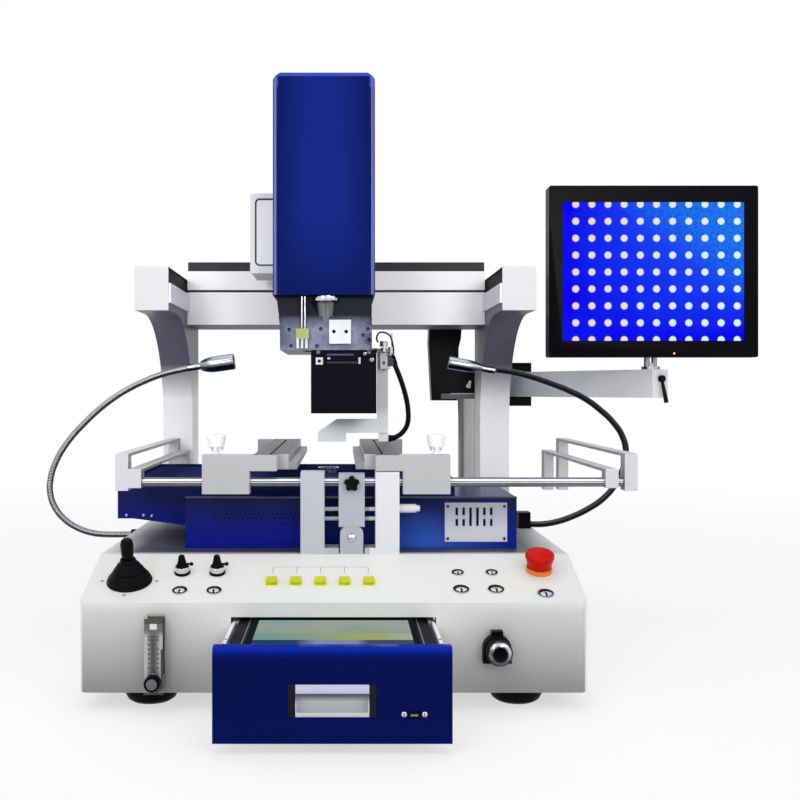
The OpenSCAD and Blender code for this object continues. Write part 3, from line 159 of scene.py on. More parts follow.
class Paint:
    def __init__(self, name):
        self.material = bpy.data.materials.new(name)
        self.material.use_nodes = True
        self.tree = self.material.node_tree
        self.shader = self.tree.nodes["Principled BSDF"]

    # One node of any kind: its settings first, then the values or links of its sockets
    def node(self, kind, settings=None, sockets=None, output=0):
        made = self.tree.nodes.new("ShaderNode" + kind)
        for key, value in (settings or {}).items():
            if key == "stops":
                ramp = made.color_ramp.elements
                while len(ramp) < len(value):
                    ramp.new(0.5)
                for element, (place, rgb) in zip(ramp, value):
                    element.position = place
                    element.color = tint(rgb)
            else:
                setattr(made, key, value)
        for key, value in (sockets or {}).items():
            if isinstance(value, Signal):
                self.tree.links.new(value.socket, made.inputs[key])
            else:
                made.inputs[key].default_value = value
        return Signal(self, made.outputs[output])

    def place(self):
        return self.node("TexCoord", output=3)

    def parts(self, vector):
        split = self.node("SeparateXYZ", sockets={0: vector}).socket.node
        return [Signal(self, split.outputs[i]) for i in range(3)]

    # The place in millimetres, across, back from the console's front wall, and up
    def axes(self):
        x, y, z = self.parts(self.place())
        return x / mm, y / mm + consoleDepth / 2, z / mm

    def normal(self):
        return self.parts(self.node("TexCoord", output=1))

    # How far the surface faces up and to the front of the console, from nought to one
    def facing(self):
        normal = self.node("TexCoord", output=1)
        upAndForward = (0.0, -0.45, 0.893)
        along = self.node("VectorMath", {"operation": "DOT_PRODUCT"}, {0: normal, 1: upAndForward}, output=1)
        return along * 0.5 + 0.5

    def noise(self, scale, detail=4.0, roughness=0.55, stretch=None):
        where = self.place()
        if stretch:
            where = self.node("Mapping", sockets={"Vector": where, "Scale": stretch})
        return self.node("TexNoise", sockets={"Vector": where, "Scale": scale, "Detail": detail,
                                              "Roughness": roughness})

    def blend(self, factor, dark, light):
        return self.node("Mix", {"data_type": "RGBA"}, {0: factor, 6: tint(dark), 7: tint(light)}, output=2)

    # Lays one tone after another over the first, each where its own mask lets it
    def layered(self, tone, *layers):
        for mask, over in layers:
            tone = self.blend(mask, tone, over)
        return tone

    def ramp(self, factor, stops):
        return self.node("ValToRGB", {"stops": stops}, {0: factor})

    def bump(self, height, strength, distance):
        return self.node("Bump", sockets={"Height": height, "Strength": strength, "Distance": distance})

    def set(self, **values):
        for key, value in values.items():
            socket = self.shader.inputs[key.replace("_", " ")]
            if isinstance(value, Signal):
                self.tree.links.new(value.socket, socket)
            else:
                socket.default_value = tint(value)
        return self.material

    # Paint on metal: a fine orange peel shows in its gloss and its surface, and pits are sunk in it
    def coated(self, tone, roughness, specular, peel, grain=900.0, uneven=0.08, step=0.0006, pits=None):
        fine = self.noise(grain, 2.0)
        height = fine if pits is None else fine - pits
        return self.set(Base_Color=tone, Roughness=fine * uneven + roughness, Specular_IOR_Level=specular,
                        Normal=self.bump(height, peel, step))

    # Rolled or brushed metal: its lines show in its gloss and its surface
    def lined(self, tone, lines, roughness, specular, depth):
        return self.set(Base_Color=tone, Roughness=lines * 0.12 + roughness, Specular_IOR_Level=specular,
                        Normal=self.bump(lines, depth, 0.0004))


# One inside the span and nought outside it
def within(value, low, high):
    return (value > low) * (value < high)


# Nought at the first value, one at the second, and even in between; the second may be the lower
def between(value, first, second):
    return ((value - first) / (second - first)).clamped()


def colour(red, green, blue):
    def linear(value):
        value = value / 255
        return value / 12.92 if value <= 0.04045 else ((value + 0.055) / 1.055) ** 2.4
    return (linear(red), linear(green), linear(blue), 1.0)


# A colour of three whole numbers is made linear, and anything else is left as it is
def tint(value):
    return colour(*value) if isinstance(value, tuple) and len(value) == 3 else value


def shade(rgb, factor):
    rgba = tint(rgb)
    return (min(rgba[0] * factor, 1), min(rgba[1] * factor, 1), min(rgba[2] * factor, 1), rgba[3])


# Sprayed or powder-coated metal, with a faint, wide change of tone
def sprayed(name, rgb, roughness=0.35, peel=0.05, grain=900.0, specular=0.4):
    paint = Paint(name)
    tone = paint.blend(paint.noise(6.0, 2.0), shade(rgb, 0.96), shade(rgb, 1.04))
    return paint.coated(tone, roughness - 0.04, specular, peel, grain)


# Moulded plastic or rubber with a fine grain
def moulded(name, rgb, roughness=0.45, grain=1400.0, depth=0.12, specular=0.25):
    paint = Paint(name)
    wide = paint.noise(30.0, 3.0)
    return paint.set(Base_Color=paint.blend(wide, shade(rgb, 0.88), shade(rgb, 1.12)),
                     Roughness=wide * 0.1 + (roughness - 0.05), Specular_IOR_Level=specular,
                     Normal=paint.bump(paint.noise(grain, 3.0), depth, 0.0004))


# Plated or turned metal, almost a mirror
def plated(name, rgb, roughness=0.12):
    paint = Paint(name)
    film = paint.noise(55.0, 3.0)
    tone = paint.blend(film, shade(rgb, 0.93), shade(rgb, 1.05))
    return paint.set(Base_Color=tone, Metallic=1.0, Roughness=film * 0.08 + (roughness - 0.04))


# Polished round metal with painted reflections: pale where it faces up and forward, with a dark band along
# its sides
def reflectionPaintedMetal(name, rgb, dark, edge=0.12, roughness=0.16):
    paint = Paint(name)
    film = paint.noise(55.0, 3.0)
    tone = paint.ramp(paint.facing(), [
        (0.0, shade(rgb, 0.42)), (0.34, shade(rgb, 0.36)), (0.44, dark), (0.5 + edge * 0.5, dark),
        (0.6 + edge * 0.5, shade(rgb, 0.7)), (0.78, rgb), (1.0, shade(rgb, 0.94))])
    tone = paint.blend(film * 0.2, tone, shade(rgb, 0.6))
    return paint.set(Base_Color=tone, Metallic=1.0, Roughness=film * 0.08 + (roughness - 0.04))


# Ground round bar with painted reflections: a bright line over a dark one, seen from the front and above
def rodPaintedReflections():
    paintedLightBands = [(0.0, (60, 60, 70)), (0.5, (120, 120, 130)), (0.66, (44, 44, 56)), (0.7, (210, 210, 218)),
             (0.76, (200, 200, 208)), (0.79, (58, 58, 68)), (0.85, (74, 74, 84)), (0.88, (250, 250, 252)),
             (0.95, (236, 236, 242)), (0.98, (90, 90, 100))]
    paint = Paint("rod_chrome")
    return paint.set(Base_Color=paint.ramp(paint.facing(), paintedLightBands), Metallic=0.4,
                     Roughness=paint.noise(55.0, 3.0) * 0.08 + 0.2)


# White coat of the console, with painted shade down its front wall, a painted shadow on the deck under the
# heater, and print marks on its panel
def consoleCoat():
    white = (218, 220, 217)
    wall = {"front": 3, "aside": (140, 230), "rim": (146, 130), "fall": (126, 30)}
    deckShadow = {"front": (126, 150), "back": (480, 380), "sides": (344, 292)}
    ink = {"line": 97, "tick": 80, "half": 0.45, "first": -86.6, "pitch": 33.8, "joystick": (-285, 57),
           "dot": 3.08, "reach": 38, "back": 130}
    paint = Paint("console_white_coat")
    x, y, z = paint.axes()
    s = upPanel(y, z)
    half, first, pitch = ink["half"], ink["first"], ink["pitch"]
    last = first + 4 * pitch
    across = (x - (first - pitch / 2)) % pitch
    ticks = (abs(across - pitch / 2) < half) * within(s, ink["tick"], ink["line"])
    marks = within(x, first - half, last + half) * within(s, ink["line"] - half, ink["line"] + half)
    marks = marks + ticks * within(x, first - 2, last + 2)
    for dx, ds in ((-1, 0), (1, 0), (0, -1), (0, 1)):
        fromX = abs(x - (ink["joystick"][0] + dx * ink["reach"]))
        fromS = abs(s - (ink["joystick"][1] + ds * ink["reach"]))
        marks = marks + (fromX + fromS < ink["dot"])
    marks = marks.clamped() * (z < deckHeight + 0.5) * (z > noseHeight - 1) * (y < ink["back"])
    front = y < wall["front"]
    outer = between(abs(x), *wall["aside"])
    under = (z > deckHeight - 0.6) * between(y, *deckShadow["front"]) * between(y, *deckShadow["back"])
    tone = paint.layered(
        paint.blend(paint.noise(6.0, 2.0), shade(white, 0.96), shade(white, 1.03)),
        # Painted shade on the outer parts of the front wall, below its top rim
        (front * outer * between(z, *wall["rim"]), shade(white, 0.78)),
        # Painted shade down the front wall, darkest near the floor
        (front * between(z, *wall["fall"]) * (outer * 0.45 + 0.5), shade(white, 0.34)),
        # Painted shadow on the deck under the heater
        (under * between(abs(x), *deckShadow["sides"]), (56, 58, 74)),
        (marks, (120, 122, 126)))
    return paint.coated(tone, 0.36, 0.35, 0.07)


# Blue of the heater, with painted light across the middle of its front and painted shade towards its right
# end, darker under its top edge, with a painted shadow behind the vent panel and two patches of small vent
# holes
def heaterCoat():
    span = {"paintedLight": (-20, 120), "paintedShade": (150, 262), "rise": (202, 256), "ventX": (172, 258),
            "ventZ": (204, 255)}
    holes = {"pitch": 7.0, "size": 2.4, "front": 189, "patches": [(-148, 238, 40, 15), (-74, 236, 24, 13)]}
    paint = Paint("heater_blue_coat")
    x, y, z = paint.axes()
    pitch = holes["pitch"]
    stagger = x + (z % (pitch * 2) > pitch) * (pitch / 2)
    holeX = abs(stagger % pitch - pitch / 2)
    holeZ = abs(z % pitch - pitch / 2)
    patch = 0
    for middleX, middleZ, halfX, halfZ in holes["patches"]:
        fromX = (x - middleX) / halfX
        fromZ = (z - middleZ) / halfZ
        patch = patch + (fromX * fromX + fromZ * fromZ < 1)
    hole = (holeX * holeX + holeZ * holeZ < holes["size"]) * patch * (y < holes["front"])
    ventShadow = within(x, *span["ventX"]) * within(z, *span["ventZ"]) * (y < holes["front"] + 1)
    tone = paint.layered(
        (7, 24, 132),
        # Painted light across the middle of the front
        (between(x, *span["paintedLight"]), (46, 84, 182)),
        # Painted shade towards the right end
        (between(x, *span["paintedShade"]), (14, 34, 132)),
        ((between(z, *span["rise"]) + paint.noise(9.0, 2.0) * 0.5 - 0.25).clamped(), (20, 28, 78)),
        # Dark vent holes, and a painted shadow behind the vent panel
        ((hole + ventShadow).clamped() * 0.8, (4, 6, 24)))
    return paint.coated(tone, 0.22, 0.05, 0.05, 700.0, pits=hole * 3.0)


# Gloss blue of the head, with painted shade towards its sides and its bottom, a painted highlight on its top
# bevel, and painted highlights along its bent front edges
def headCoat():
    face = {"middle": -18.5, "side": (26, 82), "low": (720, 596), "edgeHighlight": (77.5, 82), "edgeHighlightBack": 308,
            "crownHighlight": 925}
    paint = Paint("head_blue_gloss")
    x, y, z = paint.axes()
    aside = abs(x - face["middle"])
    crownHighlight = within(paint.normal()[2], 0.25, 0.94) * (z > face["crownHighlight"])
    tone = paint.layered(
        (14, 32, 110),
        # Painted shade towards the sides
        (between(aside, *face["side"]), (4, 13, 66)),
        # Painted shade towards the bottom
        (between(z, *face["low"]) * 0.85, (4, 15, 70)),
        (paint.noise(5.0, 2.0) * 0.3, (12, 32, 118)),
        # Painted highlight on the top bevel
        (crownHighlight * 0.7, (44, 66, 170)),
        # Painted highlights along the bent front edges
        (within(aside, *face["edgeHighlight"]) * (y < face["edgeHighlightBack"]) * 0.75, (110, 118, 180)))
    return paint.coated(tone, 0.16, 0.03, 0.02, 500.0)


# Gloss navy of the drawer's front, with painted light towards its foot and a painted highlight over its top
# and its rolled top edge
def drawerCoat():
    height = {"foot": (60, 14), "top": (112, 121), "rollHighlight": (119.5, 123)}
    paint = Paint("drawer_blue_gloss")
    z = paint.axes()[2]
    tone = paint.layered(
        (1, 11, 66),
        (paint.noise(6.0, 2.0), (2, 15, 80)),
        # Painted light towards the foot
        (between(z, *height["foot"]) * 0.6, (2, 20, 92)),
        # Painted highlight over the top and the rolled top edge
        (between(z, *height["top"]), (3, 24, 118)),
        (between(z, *height["rollHighlight"]), (4, 36, 150)))
    return paint.coated(tone, 0.1, 0.03, 0.01, 500.0, 0.06)


# Pull of the drawer: black ends, and a silver scoop with a painted shadow under its top strip and painted
# highlights down its curve
def pullCoat():
    pull = {"height": (46, 81.5), "end": 43.6}
    paintedLightBands = [(0.0, (196, 196, 206)), (0.2, (214, 214, 220)), (0.36, (226, 226, 230)),
             (0.52, (168, 168, 178)), (0.66, (88, 89, 102)), (0.74, (30, 31, 44)),
             (0.76, (186, 188, 208)), (1.0, (206, 208, 230))]
    paint = Paint("drawer_pull_finish")
    x, y, z = paint.axes()
    lines = paint.noise(60.0, 4.0, 0.7, stretch=(2.0, 40.0, 40.0))
    tone = paint.layered(
        # Painted shadow under the top strip and painted highlights down the scoop
        paint.ramp(between(z, *pull["height"]), paintedLightBands),
        (lines * 0.2, (150, 150, 160)),
        (abs(x) > pull["end"], (12, 13, 22)))
    return paint.set(Base_Color=tone, Roughness=lines * 0.12 + 0.3, Specular_IOR_Level=0.15)


# Cast plate under the head: lavender grey, with painted shade along its sides and a dark blue painted shade
# in the recess above it
def carriageCoat():
    plate = {"middle": -18.5, "side": (54, 80), "cloud": (0.42, 0.62), "recess": (530, 556)}
    paint = Paint("carriage_finish")
    x, y, z = paint.axes()
    lines = paint.noise(60.0, 5.0, 0.7, stretch=(1.0, 40.0, 40.0))
    tone = paint.layered(
        (104, 106, 130),
        # Painted shade along the sides
        (between(abs(x - plate["middle"]), *plate["side"]), (40, 42, 74)),
        (between(paint.noise(45.0, 3.0), *plate["cloud"]) * 0.45, (150, 153, 172)),
        (lines * 0.25, (96, 98, 122)),
        # Painted shade in the recess above the plate
        (between(z, *plate["recess"]), (9, 11, 32)))
    return paint.lined(tone, lines, 0.36, 0.12, 0.04)


# Underside of the arms, their inner faces and the columns: painted shade, slate at the top and fading to
# white further down
def armShadeCoat():
    fade = (412, 480)
    paint = Paint("arm_painted_shade")
    shadeTone = paint.blend(paint.noise(7.0, 2.0), (74, 73, 90), (96, 94, 112))
    tone = paint.blend(between(paint.axes()[2], *fade), (240, 240, 243), shadeTone)
    return paint.coated(tone, 0.34, 0.15, 0.05)


# Black bracket of the monitor's arm, and the grey steel post that it stands on, with painted highlights and
# dark painted reflections in bands across the post
def bracketCoat():
    post = {"x": (246, 300), "top": 416, "paintedLightBands": (253.5, 293.5)}
    paintedLightBands = [(0.0, (130, 132, 130)), (0.14, (96, 98, 96)), (0.2, (190, 192, 188)), (0.7, (248, 250, 246)),
             (0.78, (70, 70, 72)), (1.0, (90, 90, 92))]
    paint = Paint("bracket_finish")
    x, y, z = paint.axes()
    lines = paint.noise(50.0, 4.0, 0.7, stretch=(40.0, 40.0, 1.0))
    # Painted highlights and dark painted reflections in bands across the post
    steel = paint.blend(lines * 0.2, paint.ramp(between(x, *post["paintedLightBands"]), paintedLightBands), (160, 162, 160))
    tone = paint.blend(within(x, *post["x"]) * (z < post["top"]), (9, 9, 12), steel)
    return paint.coated(tone, 0.32, 0.06, 0.04, 800.0, 0.1, 0.0005)


# Crank bracket under the carriage, with painted light along its foot
def crankCoat():
    foot = (400, 380)
    paint = Paint("crank_alloy")
    tone = paint.layered((198, 200, 203), (paint.noise(7.0, 2.0), (208, 210, 213)),
                         # Painted light along the foot
                         (between(paint.axes()[2], *foot), (236, 239, 244)))
    return paint.coated(tone, 0.36, 0.3, 0.06, 700.0)


# Chromed dome of the dial, with painted reflections: dark in the middle and round its foot, bright in
# between, and darker over its lower part
def domeCoat():
    paintedLightBands = [(0.0, (4, 5, 9)), (0.5, (8, 9, 14)), (0.6, (84, 86, 94)), (0.7, (206, 206, 212)),
             (0.82, (188, 188, 194)), (0.9, (60, 60, 66)), (1.0, (18, 18, 22))]
    paint = Paint("dial_chrome")
    x, y, z = paint.axes()
    film = paint.noise(120.0, 2.0)
    across, up = x - dialCap["place"][0], z - dialCap["place"][2]
    away = (across * across + up * up).root() / dialCap["profile"][0][0]
    tone = paint.layered(paint.ramp(away + film * 0.06 - 0.03, paintedLightBands),
                         # Painted dark reflection over the lower part
                         (between(up, 3, -9) * 0.8, (22, 23, 28)))
    return paint.set(Base_Color=tone, Metallic=0.7, Roughness=film * 0.06 + 0.12, Specular_IOR_Level=0.0)


# Chromed cap of a push button, with dark painted reflections along its upper rim and down the middle
def capCoat(number, x0, s0, reach):
    paint = Paint("button_cap_%d" % number)
    x, y, z = paint.axes()
    across = abs(x - x0) / reach
    up = (upPanel(y, z) - s0) / reach
    film = paint.noise(260.0, 2.0)
    rimReflection = up + across * across * 0.5 + film * 0.4 - 0.2 > 0.32
    stemReflection = (across < 0.2) * (up < 0.1)
    return paint.set(Base_Color=paint.blend((rimReflection + stemReflection).clamped(), (224, 225, 228), (34, 35, 40)),
                     Metallic=0.5, Roughness=film * 0.1 + 0.2, Specular_IOR_Level=0.3)


# Jaws of the clamp table: pale castings with painted shade on their front faces, and a dark, grooved bar
# along the top
def jawCoat():
    bar = {"halfGap": 57, "middle": -12, "wide": 51.5, "groove": (22, 29.5), "grooveFront": 160,
           "front": 128, "top": 331, "ledge": 311}
    paint = Paint("jaw_finish")
    x, y, z = paint.axes()
    normal = paint.normal()
    across = abs(x - bar["middle"]) - bar["halfGap"]
    top = (normal[2] > 0.5) * within(across, -0.5, bar["wide"]) * (z > bar["top"]) * (y > bar["front"])
    ledge = (across < 0.1) * (z > bar["ledge"]) * (y > bar["front"])
    groove = within(across, *bar["groove"]) * (z > bar["top"] - 1) * (y > bar["grooveFront"])
    tone = paint.layered(
        (188, 188, 193),
        (paint.noise(8.0, 2.0), (198, 198, 203)),
        # Painted shade on the front faces
        (normal[1] < -0.5, (170, 170, 173)),
        (ledge * 0.7, (120, 120, 130)),
        (top, (58, 56, 66)),
        (groove, (24, 24, 32)))
    return paint.coated(tone, 0.36, 0.25, 0.06)


# Vent plate of the heater, greyer towards its top
def ventCoat():
    rise = (214, 250)
    paint = Paint("vent_plate")
    tone = paint.blend(between(paint.axes()[2], *rise), (200, 202, 214), (156, 158, 170))
    return paint.coated(tone, 0.32, 0.3, 0.06, 700.0)


# Table supports: paler on the right post as painted light, greyer on the left one and on the tongue as
# painted shade
def supportCoat():
    tongue = {"x": 20, "edge": (26, 40), "rightPost": 52}
    paint = Paint("support_alloy")
    x = paint.axes()[0]
    tone = paint.layered(
        (160, 163, 174),
        (between(abs(x - tongue["x"]), *tongue["edge"]), (172, 176, 182)),
        (x > tongue["rightPost"], (208, 208, 212)),
        (paint.noise(6.0, 2.0) * 0.12, (196, 199, 204)))
    return paint.coated(tone, 0.36, 0.4, 0.08, 700.0)


# Square tube that carries the monitor, with painted shade near its hinge and a painted highlight band near
# its cap
def tubeCoat():
    tube = {"fade": (380, 480), "highlightFrom": (556, 562), "highlightTo": (574, 568)}
    paint = Paint("swing_tube_finish")
    x = paint.axes()[0]
    lines = paint.noise(50.0, 4.0, 0.6, stretch=(4.0, 4.0, 40.0))
    tone = paint.layered(
        (186, 189, 202),
        # Painted shade towards the hinge, paler further out
        (between(x, *tube["fade"]), (240, 242, 247)),
        # Painted highlight band near the cap
        (between(x, *tube["highlightFrom"]) * between(x, *tube["highlightTo"]) * 0.7, (240, 242, 246)),
        (lines * 0.25, (170, 172, 182)))
    return paint.lined(tone, lines, 0.34, 0.25, 0.03)


# Side box of the head, with the dark joint round its inset cover
def sideCoat():
    cover = {"x": -116, "z": 703, "halfX": 22, "halfZ": 57, "round": 7, "width": 1.4, "front": 404}
    paint = Paint("side_box_coat")
    x, y, z = paint.axes()
    pastX = (abs(x - cover["x"]) - (cover["halfX"] - cover["round"])).atLeast(0)
    pastZ = (abs(z - cover["z"]) - (cover["halfZ"] - cover["round"])).atLeast(0)
    out = (pastX * pastX + pastZ * pastZ).root() - cover["round"]
    front = y < cover["front"]
    joint = (abs(out) < cover["width"]) * front
    tone = paint.layered((204, 205, 211), (paint.noise(8.0, 2.0), (212, 214, 219)),
                         ((out < 0) * front, (226, 227, 233)), (joint, (18, 18, 24)))
    return paint.coated(tone, 0.36, 0.3, 0.05, pits=joint * 2.0)


# Picture on the monitor: pale round pads in rows on a blue board, brighter to the upper right
def monitorPicture():
    picture = {"left": (400, 690), "low": (520, 746)}
    pads = {"left": 409, "pitchX": 27.5, "high": 717.5, "pitchZ": 28.8, "area": 43.56, "rim": 58}
    paint = Paint("monitor_picture")
    x, y, z = paint.axes()
    cells = paint.noise(190.0, 5.0, 0.75)
    soft = paint.noise(16.0, 3.0)
    right = between(x, *picture["left"])
    up = between(z, *picture["low"])
    fromX = abs((x - (pads["left"] - pads["pitchX"] / 2)) % pads["pitchX"] - pads["pitchX"] / 2)
    fromZ = abs((z - (pads["high"] - pads["pitchZ"] / 2)) % pads["pitchZ"] - pads["pitchZ"] / 2)
    away = fromX * fromX + fromZ * fromZ + (cells - 0.5) * 26.0
    inside = x > pads["left"] - 12
    pad = ((pads["area"] - away) / 12.0).clamped() * inside
    rim = ((pads["rim"] - away) / 14.0).clamped() * inside
    speckled = ((right + up - 1.25) * 3.0).clamped() * ((cells - 0.42) * 5.0).clamped()
    board = paint.layered(
        (10, 4, 240),
        (right * up * 1.15 + soft * 0.25 - 0.1, (34, 96, 250)),
        (speckled, (20, 140, 226)),
        (rim * 0.55, (40, 10, 120)))
    tone = paint.layered(
        (226, 178, 176),
        ((right + soft * 0.4 - 0.2).clamped(), (186, 240, 255)),
        (((pads["area"] - away) / 34.0).clamped() * 0.55, (250, 250, 250)))
    return paint.set(Base_Color=(2, 2, 4), Emission_Color=paint.blend(pad, board, tone),
                     Emission_Strength=0.96, Roughness=0.25, Specular_IOR_Level=0.0)


# Plain page of bands and keys on the touch screen in the drawer
def touchPicture():
    page = {"keysBack": -104, "bandBack": -72, "sheetBack": -10, "half": 100, "back": 6,
            "band": (-70, 30), "bandEnd": (60, 100), "keys": (-46, -20), "keysEnd": (28, 44)}
    paint = Paint("touch_picture")
    x, y, z = paint.axes()
    sheet = paint.layered(
        (150, 162, 138),
        (between(y, page["bandBack"], page["sheetBack"]), (154, 164, 160)),
        (((paint.noise(11.0, 2.0) - 0.45) * 4.0).clamped() * 0.7, (120, 158, 160)))
    band = paint.layered((112, 152, 148), (between(x, *page["band"]), (158, 172, 96)),
                         (between(x, *page["bandEnd"]), (170, 178, 168)))
    keys = paint.layered((34, 62, 108), (between(x, *page["keys"]), (128, 140, 172)),
                         (between(x, *page["keysEnd"]), (64, 78, 96)))
    outside = 1 - (abs(x) < page["half"]) * (y < page["back"])
    tone = paint.layered(sheet, ((y < page["bandBack"]) * 0.8, band), (y < page["keysBack"], keys),
                         (outside, (26, 28, 32)))
    return paint.set(Base_Color=(4, 5, 6), Emission_Color=tone, Emission_Strength=0.94, Roughness=0.2,
                     Specular_IOR_Level=0.0)


# Scale plates of the flow meter: dark at the top, then two columns of graduations, and a painted shadow over
# the lower right
def flowScale():
    scale = {"pale": (4, 9), "foot": (66, 52), "footSide": (9, 6), "head": (104, 112), "rows": (62, 106),
             "pitch": 6.2, "rowHeight": 2.2, "column": (4.2, 7.2), "line": (103.4, 104.8), "lineHalf": 8,
             "dark": 121, "shadowX": 9.6, "shadowZ": 88}
    paint = Paint("flow_scale")
    x, y, z = paint.axes()
    across = x - flow["x"]
    aside = abs(across)
    cloud = paint.noise(90.0, 3.0)
    row = (z - scale["rows"][0]) % scale["pitch"] < scale["rowHeight"]
    number = row * within(aside, *scale["column"]) * (cloud > 0.44) * within(z, *scale["rows"])
    line = within(z, *scale["line"]) * (aside < scale["lineHalf"])
    tone = paint.layered(
        (84, 86, 81),
        (between(aside, *scale["pale"]), (190, 192, 186)),
        (between(z, *scale["foot"]) * between(aside, *scale["footSide"]), (72, 74, 70)),
        (between(z, *scale["head"]), (66, 70, 66)),
        (cloud * 0.3, (150, 152, 146)),
        ((number + line + (z > scale["dark"])).clamped(), (26, 28, 28)),
        # Painted shadow over the lower right
        ((across > scale["shadowX"]) * (z < scale["shadowZ"]), (14, 15, 17)))
    return paint.set(Base_Color=tone, Roughness=0.35, Specular_IOR_Level=0.2)


# Clear plastic that lets what lies behind it through
def clearPlastic(name, rgb, alpha):
    paint = Paint(name)
    film = paint.noise(40.0, 3.0)
    return paint.set(Base_Color=paint.blend(film, shade(rgb, 0.94), shade(rgb, 1.05)), Alpha=alpha,
                     Roughness=film * 0.06 + 0.04, Specular_IOR_Level=0.3)


# Small lamp in the monitor's frame
def ledPaint():
    paint = Paint("led_orange")
    tone = paint.blend(paint.noise(300.0, 2.0), (255, 170, 80), (255, 200, 130))
    return paint.set(Base_Color=tone, Emission_Color=tone, Emission_Strength=0.8, Roughness=0.3)


# Two pieces that their finishes are centred on
dialCap = {"place": (218.5, -33.2, 85), "knobFront": -25,
           "profile": [(17.3, -1.6), (17.3, -0.4), (16.4, 1.8), (14.2, 3.8), (10.8, 5.2), (6.2, 6.2),
                       (1.0, 6.4)]}
flow = {"x": -238, "tubeFront": -12, "collarFront": -11, "knob": (-24.2, 44.7)}

whitePaint = consoleCoat()
armPaint = sprayed("arm_white_coat", (194, 194, 197), 0.36, 0.06)
armShade = armShadeCoat()
railPaint = sprayed("rail_coat", (226, 224, 238), 0.36, 0.04)
beamPaint = sprayed("beam_white_coat", (236, 233, 236), 0.36, 0.06)
tongueGrey = sprayed("socket_tongue_grey", (128, 140, 138), 0.4, 0.04, specular=0.1)
railWhite = sprayed("rail_zinc", (232, 233, 240), 0.34, 0.04)
seamAndShadeGrey = sprayed("seam_and_shade_grey", (104, 102, 108), 0.5, 0.04, specular=0.1)
sidePaint = sideCoat()
framePaint = sprayed("frame_coat", (196, 197, 201), 0.4, 0.06)
frameDark = sprayed("frame_inner_coat", (128, 132, 132), 0.4, 0.06)
headBlue = headCoat()
heaterBlue = heaterCoat()
drawerBlue = drawerCoat()
pullSilver = pullCoat()
carriageAlloy = carriageCoat()
bracketBlack = bracketCoat()
panSteel = sprayed("pan_zinc", (160, 162, 164), 0.45, 0.1)
trayBlack = sprayed("tray_black", (24, 25, 31), 0.45, 0.08, specular=0.02)
blackPlastic = moulded("black_plastic", (9, 9, 12), 0.3, specular=0.06)
blackGloss = moulded("black_gloss", (9, 7, 12), 0.3, 900.0, 0.02, 0.03)
blackRubber = moulded("black_rubber", (8, 9, 13), 0.42, 900.0, 0.25, 0.05)
capBlack = sprayed("beam_cap", (44, 44, 47), 0.36, 0.05, specular=0.1)
opticsBlack = sprayed("optics_black", (11, 11, 21), 0.3, 0.03, specular=0.03)
glassBlue = sprayed("preheater_glass", (42, 50, 98), 0.3, 0.01, specular=0.0)
yellowPlastic = moulded("yellow_green_plastic", (188, 196, 40), 0.3, 900.0, 0.05)
yellowFrame = moulded("yellow_frame", (236, 238, 92), 0.35, 900.0, 0.05)
collarYellow = moulded("collar_yellow", (224, 124, 44), 0.35, 900.0, 0.05)
stopRed = moulded("stop_red", (188, 10, 0), 0.28, 700.0, 0.04, 0.1)
whitePlastic = moulded("white_plastic", (232, 232, 230), 0.4)
buttonSteel = plated("button_steel", (196, 197, 200), 0.2)
chrome = plated("chrome", (206, 207, 212), 0.07)
darkChrome = plated("dark_chrome", (66, 67, 74), 0.14)
dialChrome = domeCoat()
rodChrome = rodPaintedReflections()
plateAlloy = sprayed("plate_alloy", (192, 195, 202), 0.4, 0.08, 700.0)
crankAlloy = crankCoat()
recessAlloy = sprayed("recess_alloy", (66, 68, 92), 0.45, 0.05, specular=0.2)
tubeAlloy = tubeCoat()
shelfGrey = sprayed("shelf_grey", (104, 104, 108), 0.45, 0.05, specular=0.2)
capAlloy = sprayed("tube_cap", (146, 146, 172), 0.4, 0.04)
jawPaint = jawCoat()
ventSteel = ventCoat()
supportAlloy = supportCoat()
neckSteel = reflectionPaintedMetal("neck_steel", (168, 169, 173), (26, 26, 30), 0.34, 0.22)
neckDark = reflectionPaintedMetal("neck_dark", (96, 98, 102), (10, 10, 14), 0.62, 0.2)
lampSteel = reflectionPaintedMetal("lamp_steel", (166, 168, 176), (44, 45, 52), 0.14, 0.16)
hoseBlack = moulded("hose_black", (9, 9, 12), 0.34, 500.0, 0.2, 0.1)
barrelGrey = sprayed("barrel_grey", (98, 104, 102), 0.5, 0.1, specular=0.2)
groundDark = sprayed("groove_dark", (14, 14, 18), 0.5, 0.05, specular=0.03)
connectorGreen = moulded("connector_green", (150, 158, 92), 0.4)
terminalWhite = moulded("terminal_white", (204, 208, 208), 0.45)
lensGlow = moulded("lamp_lens", (236, 238, 240), 0.12, 300.0, 0.3, 0.5)
screenPicture = monitorPicture()
touchGlass = touchPicture()
scalePlate = flowScale()
clearAcrylic = clearPlastic("clear_acrylic", (176, 180, 178), 0.14)
ledOrange = ledPaint()
print("finishes done")


# Stage: it comes before the pieces

